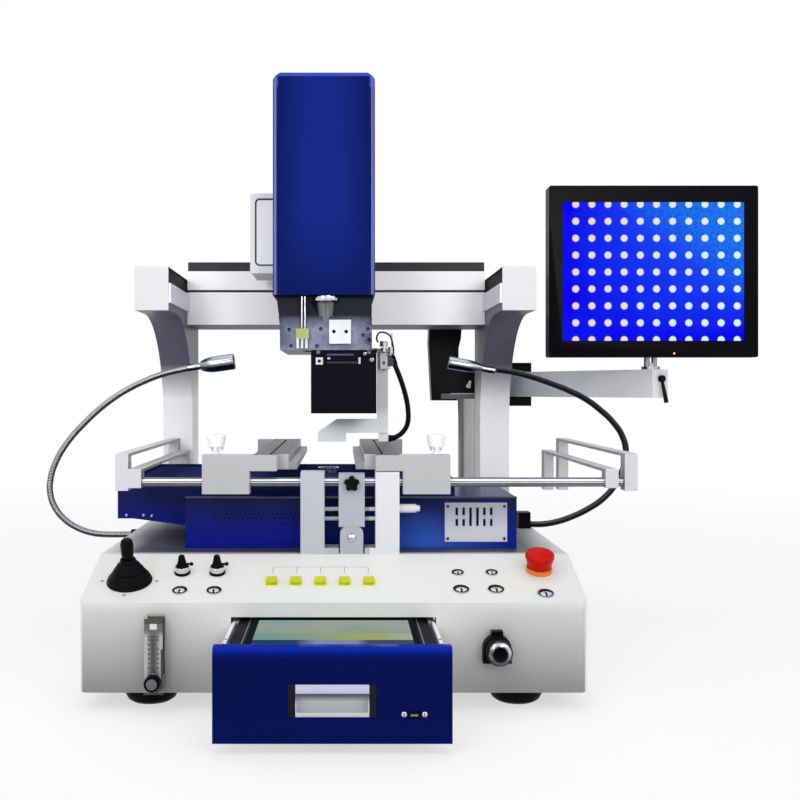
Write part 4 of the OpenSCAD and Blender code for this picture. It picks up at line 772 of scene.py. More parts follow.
studio = {"floorSize": 9.0, "floorColour": (0.92, 0.92, 0.92, 1.0), "floorGlow": 0.6,
          "fade": (1.0, 3.2), "worldLevel": 0.75,
          "rays": ("Is Camera Ray", "Is Glossy Ray", "Is Transmission Ray")}
view = {"place": (12, -1400, 432), "lens": 46.9, "sensor": 36, "shiftX": 0.0719, "shiftY": -0.01375}
lamps = {
    "key_lamp": {"place": (-1.3, -2.1, 2.3), "power": 13, "size": 1.4},
    "fill_lamp": {"place": (1.6, -1.9, 1.7), "power": 8, "size": 1.6},
    "top_lamp": {"place": (0.1, -0.2, 2.6), "power": 11, "size": 1.6},
    "left_gantry_lamp": {"place": (-0.8, -2.2, 0.95), "power": 0.9, "size": 0.5, "aim": (0, 0.3, 0.56),
                         "spread": 42},
    "right_gantry_lamp": {"place": (0.72, -2.2, 0.95), "power": 0.9, "size": 0.5, "aim": (0, 0.3, 0.56),
                          "spread": 42},
}


# A floor that is white to the camera and in reflections, and fades out far away
def whiteGround():
    paint = Paint("studio_floor")
    lightPath = paint.tree.nodes.new("ShaderNodeLightPath")
    seen, glossy, clear = [Signal(paint, lightPath.outputs[ray]) for ray in studio["rays"]]
    direct = (seen + glossy + clear).clamped()
    paint.set(Base_Color=studio["floorColour"], Roughness=0.9, Specular_IOR_Level=0.1)
    glow = paint.node("Emission", sockets={"Color": (1, 1, 1, 1), "Strength": 1.0})
    mixed = paint.node("MixShader", sockets={0: direct * studio["floorGlow"],
                                             1: Signal(paint, paint.shader.outputs[0]), 2: glow})
    reach = paint.node("VectorMath", {"operation": "LENGTH"}, {0: paint.place()}, output=1)
    nothing = paint.node("BsdfTransparent", sockets={"Color": (1, 1, 1, 1)})
    ground = paint.node("MixShader", sockets={0: between(reach, *studio["fade"]), 1: mixed, 2: nothing})
    target = paint.tree.nodes["Material Output"].inputs["Surface"]
    paint.tree.links.new(ground.socket, target)
    return paint.material


def makeFloor():
    bpy.ops.mesh.primitive_plane_add(size=studio["floorSize"], location=(0, 0, 0))
    floor = bpy.context.object
    floor.name = "studio_floor"
    floor.data.materials.append(whiteGround())


# White to the camera and in reflections, and a little darker as a source of light
def makeWorld():
    world = bpy.data.worlds.new("studio")
    bpy.context.scene.world = world
    world.use_nodes = True
    tree = world.node_tree
    background = tree.nodes["Background"]
    background.inputs["Color"].default_value = (1, 1, 1, 1)
    rays = tree.nodes.new("ShaderNodeLightPath")
    total = rays.outputs[studio["rays"][0]]
    for ray in studio["rays"][1:]:
        larger = tree.nodes.new("ShaderNodeMath")
        larger.operation = "MAXIMUM"
        tree.links.new(total, larger.inputs[0])
        tree.links.new(rays.outputs[ray], larger.inputs[1])
        total = larger.outputs[0]
    levels = tree.nodes.new("ShaderNodeMapRange")
    levels.inputs["To Min"].default_value = studio["worldLevel"]
    levels.inputs["To Max"].default_value = 1.0
    tree.links.new(total, levels.inputs["Value"])
    tree.links.new(levels.outputs["Result"], background.inputs["Strength"])


def makeLamps():
    for name, values in lamps.items():
        data = bpy.data.lights.new(name, "AREA")
        data.energy = values["power"]
        data.size = values["size"]
        data.spread = math.radians(values.get("spread", 180))
        lamp = bpy.data.objects.new(name, data)
        bpy.context.scene.collection.objects.link(lamp)
        lamp.location = values["place"]
        aim = Vector(values.get("aim", (0, 0, 0.4))) - Vector(values["place"])
        lamp.rotation_euler = aim.to_track_quat("-Z", "Y").to_euler()


# The camera stands where the picture was taken from
def makeCamera():
    data = bpy.data.cameras.new("camera")
    data.lens = view["lens"]
    data.sensor_width = view["sensor"]
    data.shift_x = view["shiftX"]
    data.shift_y = view["shiftY"]
    camera = bpy.data.objects.new("camera", data)
    bpy.context.scene.collection.objects.link(camera)
    camera.location = at(*view["place"])
    camera.rotation_euler = (math.radians(90), 0, 0)
    bpy.context.scene.camera = camera
    bpy.context.scene.view_settings.view_transform = "Standard"


makeFloor()
makeWorld()
makeLamps()
makeCamera()
print("stage done")


# Modelling

smoothUnder = 36


def clearSelection():
    if bpy.context.mode != "OBJECT":
        bpy.ops.object.mode_set(mode="OBJECT")
    bpy.ops.object.select_all(action="DESELECT")


def choose(piece):
    clearSelection()
    piece.select_set(True)
    bpy.context.view_layer.objects.active = piece


def openEdit(piece):
    choose(piece)
    bpy.ops.object.mode_set(mode="EDIT")
    bpy.ops.mesh.select_all(action="SELECT")


def closeEdit():
    bpy.ops.object.mode_set(mode="OBJECT")


# In edit mode: selects the corners, edges or faces that the test accepts, and counts them
def pick(piece, kind, test):
    bpy.ops.mesh.select_mode(type=kind)
    bpy.ops.mesh.select_all(action="DESELECT")
    work = bmesh.from_edit_mesh(piece.data)
    work.normal_update()
    found = 0
    for part in {"VERT": work.verts, "EDGE": work.edges, "FACE": work.faces}[kind]:
        if test(part):
            part.select_set(True)
            found += 1
    bmesh.update_edit_mesh(piece.data)
    return found


def smooth(piece):
    choose(piece)
    bpy.ops.object.shade_smooth_by_angle(angle=math.radians(smoothUnder))
    weights = piece.modifiers.new("weights", "WEIGHTED_NORMAL")
    weights.keep_sharp = True
    bpy.ops.object.modifier_apply(modifier=weights.name)
    return piece


def settle(piece, matrix=None):
    if matrix is not None:
        piece.matrix_world = matrix @ piece.matrix_world
    choose(piece)
    bpy.ops.object.transform_apply(location=True, rotation=True, scale=True)
    return piece


def coat(piece, material):
    piece.data.materials.clear()
    piece.data.materials.append(material)
    return piece


# Gives the faces that the test accepts their own finish
def paintFaces(piece, material, test):
    piece.data.materials.append(material)
    index = len(piece.data.materials) - 1
    for face in piece.data.polygons:
        if test(*spot(face.center), face.normal):
            face.material_index = index


# Makes a piece ride with a node's body, and takes that node's place if asked
def join(piece, node, instead=False):
    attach(piece, nodes[node]["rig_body"])
    if instead:
        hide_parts(node)
    return piece


# A copy of a node with its sharp outer edges rounded over and its curves smoothed
def dressed(node, material, width=0.0, longer=0.0, where=None, segments=3, sharper=28):
    piece = bpy.data.objects.new(node + "_dressed", nodes[node].data.copy())
    bpy.context.scene.collection.objects.link(piece)
    coat(piece, material)
    openEdit(piece)
    bpy.ops.mesh.remove_doubles(threshold=0.00002)
    bpy.ops.mesh.dissolve_limited(angle_limit=math.radians(0.5))

    def sharp(edge):
        if len(edge.link_faces) != 2 or edge.calc_length() < longer * mm:
            return False
        if edge.calc_face_angle_signed(0) < math.radians(sharper):
            return False
        return where is None or where(*spot((edge.verts[0].co + edge.verts[1].co) / 2))

    if width and pick(piece, "EDGE", sharp):
        bpy.ops.mesh.bevel(offset=width * mm, segments=segments, profile=0.5, affect="EDGES",
                           clamp_overlap=True)
    closeEdit()
    smooth(piece)
    return join(piece, node, True)


# A ring drawn up and scaled along a profile of radius and height, as on a lathe
def turned(name, profile, material, matrix, sides=48, closed=True):
    clearSelection()
    bpy.ops.mesh.primitive_circle_add(vertices=sides, radius=profile[0][0] * mm,
                                      location=(0, 0, profile[0][1] * mm))
    piece = bpy.context.object
    piece.name = name
    settle(piece)
    openEdit(piece)
    for (radius, height), (nextRadius, nextHeight) in zip(profile, profile[1:]):
        lift = {"value": (0, 0, (nextHeight - height) * mm)}
        bpy.ops.mesh.extrude_region_move(TRANSFORM_OT_translate=lift)
        grow = nextRadius / radius
        bpy.ops.transform.resize(value=(grow, grow, 1), center_override=(0, 0, nextHeight * mm))
    bpy.ops.mesh.select_all(action="SELECT")
    bpy.ops.mesh.remove_doubles(threshold=0.000002)
    if closed:
        bpy.ops.mesh.fill_holes(sides=sides + 1)
    bpy.ops.mesh.select_all(action="SELECT")
    bpy.ops.mesh.normals_make_consistent(inside=False)
    closeEdit()
    settle(piece, matrix)
    coat(piece, material)
    return smooth(piece)


# A block over three spans, across, back and up, with its edges rounded
def block(name, across, back, up, material, edge):
    clearSelection()
    bpy.ops.mesh.primitive_cube_add(size=1)
    piece = bpy.context.object
    piece.name = name
    low, high = [at(*corner) for corner in zip(across, back, up)]
    piece.scale = high - low
    piece.location = (low + high) / 2
    settle(piece)
    openEdit(piece)
    bpy.ops.mesh.bevel(offset=edge * mm, segments=3, affect="EDGES", clamp_overlap=True)
    closeEdit()
    coat(piece, material)
    return smooth(piece)


# A block for each row, all set out from the same point
def blocks(rows, x=0, y=0, z=0):
    def moved(span, by):
        return span[0] + by, span[1] + by
    return [block(name, moved(across, x), moved(back, y), moved(up, z), material, edge)
            for name, across, back, up, material, edge in rows]


def screwHead(name, place, radius, material):
    profile = [(radius, -0.6), (radius, 0.5), (radius * 0.8, 1.0), (radius * 0.35, 1.15)]
    return turned(name, profile, material, frontMatrix(*place), 20)


def merged(name, pieces):
    choose(pieces[0])
    for piece in pieces:
        piece.select_set(True)
    bpy.ops.object.join()
    pieces[0].name = name
    return pieces[0]


# A line that a tube or a cord follows
def route(name, points, radius=0.0, resolution=10):
    data = bpy.data.curves.new(name, "CURVE")
    data.dimensions = "3D"
    data.resolution_u = resolution
    data.bevel_depth = radius * mm
    data.bevel_resolution = 5
    data.use_fill_caps = True
    line = data.splines.new("BEZIER")
    line.bezier_points.add(len(points) - 1)
    for knot, point in zip(line.bezier_points, points):
        knot.co = point
        knot.handle_left_type = "AUTO"
        knot.handle_right_type = "AUTO"
    made = bpy.data.objects.new(name, data)
    bpy.context.scene.collection.objects.link(made)
    return made


# Sensor hose: the route repeats the part's own points

hose = {"crank": 73.2, "carriage": 496, "front": 444.7, "back": 463.7, "diameter": 9,
        "offsets": [(25, -6), (28, -12), (32, -22), (38, -37), (44, -53), (49, -69), (53, -85), (55.4, -101),
                    (56, -115), (54.6, -126), (50.8, -135), (45, -142.4), (37.6, -148), (29, -151.6),
                    (18, -152.8)],
        "cuff": [(4.6, 0.5), (6.2, 0.5), (6.4, 1.5), (6.2, 7), (5.4, 9), (5.0, 15), (4.6, 16)]}


def makeHose():
    points = []
    last = len(hose["offsets"]) - 1
    for i, (across, up) in enumerate(hose["offsets"]):
        t = i / last
        back = hose["front"] + t * t * (3 - 2 * t) * (hose["back"] - hose["front"])
        points.append(at(hose["crank"] + across, back, hose["carriage"] + up))
    piece = route("sensor_hose_tube", points, hose["diameter"] / 2)
    piece.data.materials.append(hoseBlack)
    join(piece, "sensor_hose", True)
    cuffs = []
    for number, (point, beyond) in enumerate(((points[0], points[1]), (points[-1], points[-2]))):
        aim = (beyond - point).to_track_quat("Z", "Y").to_matrix().to_4x4()
        cuffs.append(turned("hose_cuff_%d" % number, hose["cuff"], blackRubber,
                            Matrix.Translation(point) @ aim, 24, False))
    join(merged("hose_cuffs", cuffs), "crank_bracket")


makeHose()
print("hose done")

# Console, and the fittings sunk in its panel, by their places across it and up it

console = {"bend": 2.4, "openingHalf": 139, "frontFoot": 6, "nose": 130, "footTop": 21,
           "drawerBend": -152.5, "drawerTop": 118}
fittings = {"squares": [(-19 + (i - 2) * 33.8, 52) for i in range(5)],
            "rounds": [(-211, 30), (-164, 30), (175, 79), (223, 79), (175, 33), (223, 33), (289, 22)],
            "stop": (291, 86), "dimmers": [(-214.5, 80), (-165, 80)],
            "roundReach": 12, "roundTop": -2, "squareReach": 14, "stopReach": 19,
            "sunk": -7, "back": 140, "low": 140, "bendLow": 100, "inletBack": 781, "inletLeft": -230}


# A test for the fittings' faces near one of the places on the panel
def fittingNear(places, reach, highest=99):
    def test(x, y, z, n):
        s = upPanel(y, z)
        onTop = outOfPanel(y, z) > fittings["sunk"] and y < fittings["back"] and z > fittings["low"]
        return onTop and any(math.hypot(x - px, s - ps) < reach and s < ps + highest for px, ps in places)
    return test


def makeConsole():
    dressed("base_housing", whitePaint, console["bend"], 40, lambda x, y, z: abs(x) > console["openingHalf"]
            or y > console["frontFoot"] or z > console["nose"])
    dressed("base_pan", panSteel)
    feet = dressed("feet", blackRubber, 1.0, 0, None, 2)
    paintFaces(feet, darkChrome, lambda x, y, z, n: z > console["footTop"])
    rings = dressed("panel_fittings", blackGloss, 0.35, 0,
                    lambda x, y, z: y < fittings["back"] and z > fittings["bendLow"], 2)
    paintFaces(rings, chrome, fittingNear(fittings["rounds"], fittings["roundReach"], fittings["roundTop"]))
    paintFaces(rings, yellowFrame, fittingNear(fittings["squares"], fittings["squareReach"]))
    paintFaces(rings, collarYellow, fittingNear([fittings["stop"]], fittings["stopReach"]))
    paintFaces(rings, lampSteel, lambda x, y, z, n: y > fittings["inletBack"] and x > fittings["inletLeft"])
    dressed("drawer_tray", trayBlack, 0.8, 40)
    dressed("drawer_front", drawerBlue, 1.4, 20,
            lambda x, y, z: y < console["drawerBend"] and z < console["drawerTop"])
    dressed("drawer_pull", pullSilver, 0.7, 20)
    dressed("touch_screen", touchGlass, 0.4, 50)


makeConsole()

# Small things on the drawer: the socket's frame and screws, the pull's strips, the rails and lines

socket = {"x": 97, "z": 47, "screw": 12.2, "screwUp": 1, "screwRadius": 3.1}
drawer = {"front": -170, "rail": (131.8, 136.4), "railBack": (-151, 60), "railUp": (106, 118.6),
          "line": (111.6, 112.7), "lineBack": (-151, 160), "lineUp": (119.1, 119.85),
          "screws": (-120, -95), "screw": [(1.9, -0.2), (1.9, 0.1), (1.4, 0.4)]}
socketBlocks = [
    ("socket_plate", (-7.6, 7.6), (-0.6, 0.4), (-4.6, -2.5), blackGloss, 0.3),
    ("socket_plate", (-7.6, 7.6), (-0.6, 0.4), (2.5, 4.6), blackGloss, 0.3),
    ("socket_tongue", (-4.8, 4.8), (0.8, 8.5), (-1.8, 0.6), tongueGrey, 0.3),
    ("screw_slot", (-12.7, -11.7), (-1.3, -0.9), (-1.7, 3.7), groundDark, 0.1),
    ("screw_slot", (11.7, 12.7), (-1.3, -0.9), (-1.7, 3.7), groundDark, 0.1),
]
pullStrips = [
    ("pull_strip", (-43.4, 43.4), (-1.45, -0.3), (68.2, 80.6), pullSilver, 0.3),
    ("pull_strip", (-43.4, 43.4), (-1.45, -0.3), (45.4, 50.2), pullSilver, 0.3),
]


def makeDrawerTrim():
    front = drawer["front"]
    parts = blocks(socketBlocks, socket["x"], front, socket["z"]) + blocks(pullStrips, y=front)
    for side in (-1, 1):
        place = (socket["x"] + side * socket["screw"], front, socket["z"] + socket["screwUp"])
        parts.append(screwHead("socket_screw", place, socket["screwRadius"], chrome))
    join(merged("front_trim", parts), "drawer_front")
    rails = []
    for side in (-1, 1):
        rail = sorted(side * x for x in drawer["rail"])
        line = sorted(side * x for x in drawer["line"])
        rails.append(block("drawer_rail", rail, drawer["railBack"], drawer["railUp"], railWhite, 0.5))
        rails.append(block("tray_line", line, drawer["lineBack"], drawer["lineUp"], frameDark, 0.15))
        for y in drawer["screws"]:
            place = at(sum(rail) / 2, y, drawer["railUp"][1])
            rails.append(turned("rail_screw", drawer["screw"], groundDark, Matrix.Translation(place), 16))
    join(merged("drawer_rails", rails), "drawer_tray")


makeDrawerTrim()
print("console and drawer done")

# Controls on the panel

boot = {"x": -285, "s": 57, "foot": 2, "seam": 17.0, "neck": 33, "wall": 1.1,
        "lower": [(31.2, 0.2), (31.6, 1.2), (31.0, 2.6), (29.4, 4.0), (29.0, 5.4), (29.2, 6.6), (28.0, 8.0),
                  (25.6, 9.6), (24.8, 11.0), (25.0, 12.2), (23.6, 13.8), (21.6, 15.4), (20.8, 17.0)],
        "upper": [(20.8, 17.0), (21.0, 18.4), (19.6, 20.2), (17.4, 22.0), (16.4, 23.6), (16.6, 25.0),
                  (15.2, 26.8), (12.6, 28.6), (11.4, 30.0), (11.2, 32.6), (10.6, 34.6), (9.4, 35.6),
                  (8.2, 35.6)]}
dimmerRing = {"out": (3.3, 11.4), "reach": (8, 11)}
capReach = {"lowRow": 7, "highRow": 5.5, "rowsPart": 70}
stopButton = {"collar": [(17.1, 0.8), (18.3, 1.2), (18.3, 6.4), (17.9, 6.9), (17.3, 6.9), (17.1, 6.4),
                         (17.1, 0.8)],
              "skirt": [(16.2, 7.0), (16.7, 7.2), (16.9, 11.2), (18.2, 14), (19.0, 19), (18.0, 20.5)]}


def makeBoot():
    x, s = boot["x"], boot["s"]
    halves = (("lower", "console", "joystick_gimbal", boot["foot"], boot["seam"]),
              ("upper", "joystick_gimbal", "joystick_lever", boot["seam"], boot["neck"]))
    for name, first, second, low, high in halves:
        piece = turned("boot_" + name, boot[name], blackRubber, panelMatrix(x, s), 64, False)
        solid = piece.modifiers.new("wall", "SOLIDIFY")
        solid.thickness = boot["wall"] * mm
        solid.offset = -1
        choose(piece)
        bpy.ops.object.modifier_apply(modifier=solid.name)
        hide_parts("joystick_boot")
        onPanel(x, s, low)
        onPanel(x, s, high)
        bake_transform(piece)


def makeDimmer(node, x0, s0):
    def ring(x, y, z, n):
        away = math.hypot(x - x0, upPanel(y, z) - s0)
        return within(outOfPanel(y, z), *dimmerRing["out"]) and within(away, *dimmerRing["reach"])
    paintFaces(dressed(node, blackPlastic), chrome, ring)


def makeControls():
    makeBoot()
    dressed("joystick_gimbal", buttonSteel)
    dressed("joystick_lever", blackPlastic)
    for node, place in zip(("left_dimmer", "right_dimmer"), fittings["dimmers"]):
        makeDimmer(node, *place)
    for number in range(1, 6):
        dressed("square_button_%d" % number, yellowPlastic, 0.7, 4, None, 3, 60)
    for number, (x, s) in enumerate(fittings["rounds"], 1):
        reach = capReach["lowRow"] if s < capReach["rowsPart"] else capReach["highRow"]
        dressed("round_button_%d" % number, capCoat(number, x, s, reach))
    dressed("stop_plunger", blackPlastic)
    dressed("stop_head", stopRed)
    dressed("flow_float", blackPlastic)
    dressed("turns_knob", blackGloss, 0.5, 0, lambda x, y, z: y < dialCap["knobFront"], 2, 40)
    join(turned("dial_cap", dialCap["profile"], dialChrome, frontMatrix(*dialCap["place"])), "turns_knob")
    stopPlace = panelMatrix(*fittings["stop"])
    join(turned("stop_collar", stopButton["collar"], collarYellow, stopPlace, 64, False), "panel_fittings")
    join(turned("stop_skirt", stopButton["skirt"], stopRed, stopPlace, 64), "stop_head")


# Flow meter: a clear block, with its tube, end fittings and scale inside
flowBlocks = [
    ("flow_back", (-11.4, 11.4), (-3.2, -1.2), (50, 127), groundDark, 0.4),
    ("flow_head", (-4.8, 4.8), (-23.4, -21.4), (114, 121.5), whitePlastic, 0.5),
    ("flow_top", (-3.2, 3.2), (-22.4, -21.2), (106, 127), scalePlate, 0.3),
    ("flow_plate", (-12.2, -2.8), (-22.6, -21.4), (49, 128), scalePlate, 0.3),
    ("flow_plate", (2.8, 12.2), (-22.6, -21.4), (49, 128), scalePlate, 0.3),
]
flowTurned = {
    "fittings": [[(5.4, 48), (5.8, 48.8), (5.8, 51.8), (4.6, 53.8)],
                 [(5.4, 115.6), (5.8, 116.4), (5.8, 120), (4.6, 122)]],
    "collar": [(8.6, 29.5), (9.4, 30.5), (9.4, 47), (8.6, 48)],
    "grip": [(10.7, -0.2), (10.9, 0.6), (10.3, 2.4), (10.6, 3.2), (10.6, 10.6), (10.0, 12.2), (8.2, 12.9),
             (7.6, 12.2), (2.0, 12.2)],
    "dome": [(7.2, 11.6), (7.2, 12.4), (6.2, 13.2), (4.0, 13.7), (1.0, 13.9)],
}


def makeFlowMeter():
    dressed("flow_meter", clearAcrylic, 0.8, 20)
    parts = blocks(flowBlocks, flow["x"])
    tube = Matrix.Translation(at(flow["x"], flow["tubeFront"], 0))
    for profile in flowTurned["fittings"]:
        parts.append(turned("flow_fitting", profile, chrome, tube, 28))
    foot = Matrix.Translation(at(flow["x"], flow["collarFront"], 0))
    parts.append(turned("flow_collar", flowTurned["collar"], darkChrome, foot, 32))
    join(merged("flow_inside", parts), "flow_meter")
    place = frontMatrix(flow["x"], *flow["knob"])
    knob = turned("flow_knob_grip", flowTurned["grip"], blackGloss, place, 40)
    dome = turned("flow_knob_dome", flowTurned["dome"], shelfGrey, place, 40)
    join(merged("flow_knob_grip", [knob, dome]), "flow_knob", True)


makeControls()
makeFlowMeter()
print("controls done")

# Gantry and head

gantry = {"inner": 282, "outer": 300, "groove": (611.6, 637.4), "grooveBack": (361, 722),
          "rail": (577.5, 611.5), "cap": 655.5, "seam": (616, 622), "seamFront": 573.5, "beamFoot": 560,
          "armFront": 362, "armFoot": 300, "columnFront": 600, "columnTop": 600, "coverFoot": 586.5,
          "coverBends": 600}


# Faces of the arms that are in shade: their undersides, the columns' fronts and the inner sides
def armShaded(x, y, z, n):
    below = n.z < -0.15 and y > gantry["armFront"] and z > gantry["armFoot"]
    column = n.y < -0.8 and y > gantry["columnFront"] and z < gantry["columnTop"]
    inner = abs(n.x) > 0.9 and x * n.x < 0 and abs(x) > gantry["inner"] - 1
    return below or column or inner


def makeGantry():
    inner = gantry["inner"]
    arms = dressed("gantry_arms", armPaint, 2.0, 25)
    # The arms' faces in shade get the painted shade
    paintFaces(arms, armShade, armShaded)
    paintFaces(arms, groundDark, lambda x, y, z, n: within(abs(x), inner + 0.5, gantry["outer"])
               and within(z, *gantry["groove"]) and within(y, *gantry["grooveBack"]))
    paintFaces(arms, railPaint, lambda x, y, z, n: abs(x) < inner - 0.2 and within(z, *gantry["rail"]))
    beam = dressed("cross_beam", beamPaint, 1.2, 60)
    paintFaces(beam, capBlack, lambda x, y, z, n: z > gantry["cap"])
    paintFaces(beam, seamAndShadeGrey, lambda x, y, z, n: within(z, *gantry["seam"]) and y > gantry["seamFront"]
               and abs(n.x) < 0.5)
    # Painted shade on the beam's underside
    paintFaces(beam, seamAndShadeGrey, lambda x, y, z, n: n.z < -0.3 and z < gantry["beamFoot"])
    cover = dressed("head_cover", headBlue, 3.0, 60, lambda x, y, z: z > gantry["coverBends"], 4)
    paintFaces(cover, groundDark, lambda x, y, z, n: z < gantry["coverFoot"])
    dressed("head_side_box", sidePaint, 1.2, 30)


# Cast plate under the head, with its holes, terminals, plug, motor barrel and collar
plate = {"front": 312.7, "top": 552, "proud": 0.5, "wireProud": 0.8,
         "holeReach": 3.7, "holeDepth": (0.2, 8.6),
         "holes": [(-75.5, 529), (-23.5, 530.5), (-30, 502.5), (-72.5, 502.5), (54, 530.5), (45.5, 520.5),
                   (55.5, 512.5)],
         "terminal": ((-10.5, 26.5), (505.5, 546)),
         "plug": ((-65, -42.5), (497, 531.5)), "plugSeam": 515.2, "wire": (-56.5, -47.5), "wireFoot": 531.5,
         "screws": [(-2, 526), (18, 526)], "screwReach": 3.2, "screwDepth": (-6.9, -2), "screwUp": (520, 532),
         "barrel": (-15.5, 10.5), "barrelDepth": (-9.5, 13.8), "barrelReach": 14.6,
         "barrelUp": (536.5, 575.2), "collarReach": 19.6, "collarUp": (574.9, 590), "collarOval": 1.2}
crank = {"pin": (95, 103), "pinUp": (470, 494), "pinBack": 450}
rollers = {"back": 432, "rows": [(84.5, 506, 516, 7.0), (84.5, 496.5, 504.5, 5.4), (96.5, 494, 506, 4.6)]}
clampLead = {"radius": 1.5, "points": [(74, 430, 514), (72, 428, 522), (76, 428, 530), (86, 430, 531),
                                       (95, 432, 526), (100, 434, 512), (102, 436, 498), (100, 438, 486)]}


def makeCarriage():
    body = dressed("head_carriage", carriageAlloy, 0.6, 12, lambda x, y, z: z < plate["top"])
    front = plate["front"]

    def near(x, z, places, reach):
        return any(math.hypot(x - px, z - pz) < reach for px, pz in places)

    def depth(y, span):
        return within(y - front, *plate[span])

    def inBox(x, z, box):
        return within(x, *box[0]) and within(z, *box[1])

    def plug(x, y, z):
        return y < front - plate["proud"] and inBox(x, z, plate["plug"])

    def barrel(x, y, z, part, oval=1):
        across, back = plate["barrel"]
        return (depth(y, "barrelDepth") and within(z, *plate[part + "Up"])
                and math.hypot((x - across) / oval, y - front - back) < plate[part + "Reach"])

    paintFaces(body, groundDark, lambda x, y, z, n: depth(y, "holeDepth") and z < plate["top"] and n.y > -0.5
               and near(x, z, plate["holes"], plate["holeReach"]))
    paintFaces(body, terminalWhite, lambda x, y, z, n: plug(x, y, z)
               or (y < front - plate["proud"] and inBox(x, z, plate["terminal"])))
    paintFaces(body, connectorGreen, lambda x, y, z, n: plug(x, y, z) and z >= plate["plugSeam"])
    paintFaces(body, groundDark, lambda x, y, z, n: depth(y, "screwDepth") and within(z, *plate["screwUp"])
               and near(x, z, plate["screws"], plate["screwReach"]))
    paintFaces(body, rodChrome, lambda x, y, z, n: y < front - plate["wireProud"] and z > plate["wireFoot"]
               and within(x, *plate["wire"]))
    paintFaces(body, barrelGrey, lambda x, y, z, n: barrel(x, y, z, "barrel"))
    paintFaces(body, chrome, lambda x, y, z, n: barrel(x, y, z, "collar", plate["collarOval"]))
    bracket = dressed("crank_bracket", crankAlloy, 0.8, 12)
    paintFaces(bracket, darkChrome, lambda x, y, z, n: y < crank["pinBack"] and within(x, *crank["pin"])
               and within(z, *crank["pinUp"]))
    dressed("optics_box", opticsBlack, 1.2, 30)
    # Three short plated rollers at the clamp, and the thin lead that runs up beside them
    clamp = []
    for x, low, high, r in rollers["rows"]:
        profile = [(r * 0.86, low), (r, low + 0.8), (r, high - 0.8), (r * 0.86, high)]
        place = Matrix.Translation(at(x, rollers["back"], 0))
        clamp.append(turned("clamp_roller", profile, chrome, place, 28))
    choose(route("clamp_lead", [at(*point) for point in clampLead["points"]], clampLead["radius"]))
    bpy.ops.object.convert(target="MESH")
    clamp.append(coat(bpy.context.object, blackRubber))
    join(merged("clamp_trim", clamp), "crank_bracket")
    dressed("upper_nozzle", chrome)


# Small fittings on the optics box: a clip plate, a slot cover, two latches and two knurled screws
optics = {"front": 315.7, "clipHole": (-26, -3, 478), "holeProfile": [(2.6, 0), (2.6, 0.8), (1.6, 1.1)],
          "screws": [(48.6, 490, 3.3), (60, 480, 4.2)]}
opticsBlocks = [
    ("clip_plate", (-32, -20), (-3, 0.2), (472, 484), plateAlloy, 0.6),
    ("slot_cover", (-13, 38), (-0.9, 0.2), (474, 477), darkChrome, 0.4),
    ("upper_strip", (-14, 31), (-0.7, 0.2), (487, 490), recessAlloy, 0.3),
    ("latch_left", (-13, -8), (-3.4, 0.2), (480.5, 484), chrome, 0.6),
    ("latch_right", (38, 42), (-3.4, 0.2), (473, 484), chrome, 0.6),
]


def makeOpticsTrim():
    front = optics["front"]
    parts = blocks(opticsBlocks, y=front)
    x, out, z = optics["clipHole"]
    parts.append(turned("clip_hole", optics["holeProfile"], groundDark, frontMatrix(x, front + out, z), 20))
    for x, z, r in optics["screws"]:
        profile = [(r, -0.2), (r, 3.4), (r * 0.82, 4.6), (r * 0.3, 4.8)]
        parts.append(turned("knurled_screw", profile, lampSteel, frontMatrix(x, front, z), 24))
    join(merged("optics_trim", parts), "optics_box")


makeGantry()
makeCarriage()
makeOpticsTrim()
print("gantry and head done")

# Monitor and its arm

monitor = {"led": (576, 372, 492.5), "ledProfile": [(1.6, -0.4), (1.6, 0.3), (0.8, 0.6)],
           "faceEdge": 374, "backEdge": 399, "bracketFace": 736, "leverOut": 4,
           "levers": [(282, 457, 98, 27), (274, 449, 200, 15)],
           "capAt": 572, "armSlope": 0.58, "armFront": 440}
steelPost = {"corners": (247, 287), "top": 413, "shift": 6.5, "sharp": 0.8, "sides": (733, 778),
             "rounded": 4.6, "middle": (748, 764)}
bracketBlocks = [
    ("bracket_shelf", (214, 292), (-1.6, 0.4), (412, 422.6), shelfGrey, 0.5),
    ("bracket_edge", (232, 292), (-2.2, 0.4), (421.4, 423.4), plateAlloy, 0.4),
]


# Moves the steel post under the bracket to the right, where the picture has it
def shiftPost(bracket):
    def onPost(vert):
        x, y, z = spot(vert.co)
        near = min(abs(x - corner) for corner in steelPost["corners"])
        return z < steelPost["top"] and (near < steelPost["sharp"] and within(y, *steelPost["sides"])
                                         or near < steelPost["rounded"] and within(y, *steelPost["middle"]))

    openEdit(bracket)
    pick(bracket, "VERT", onPost)
    bpy.ops.transform.translate(value=(steelPost["shift"] * mm, 0, 0))
    closeEdit()


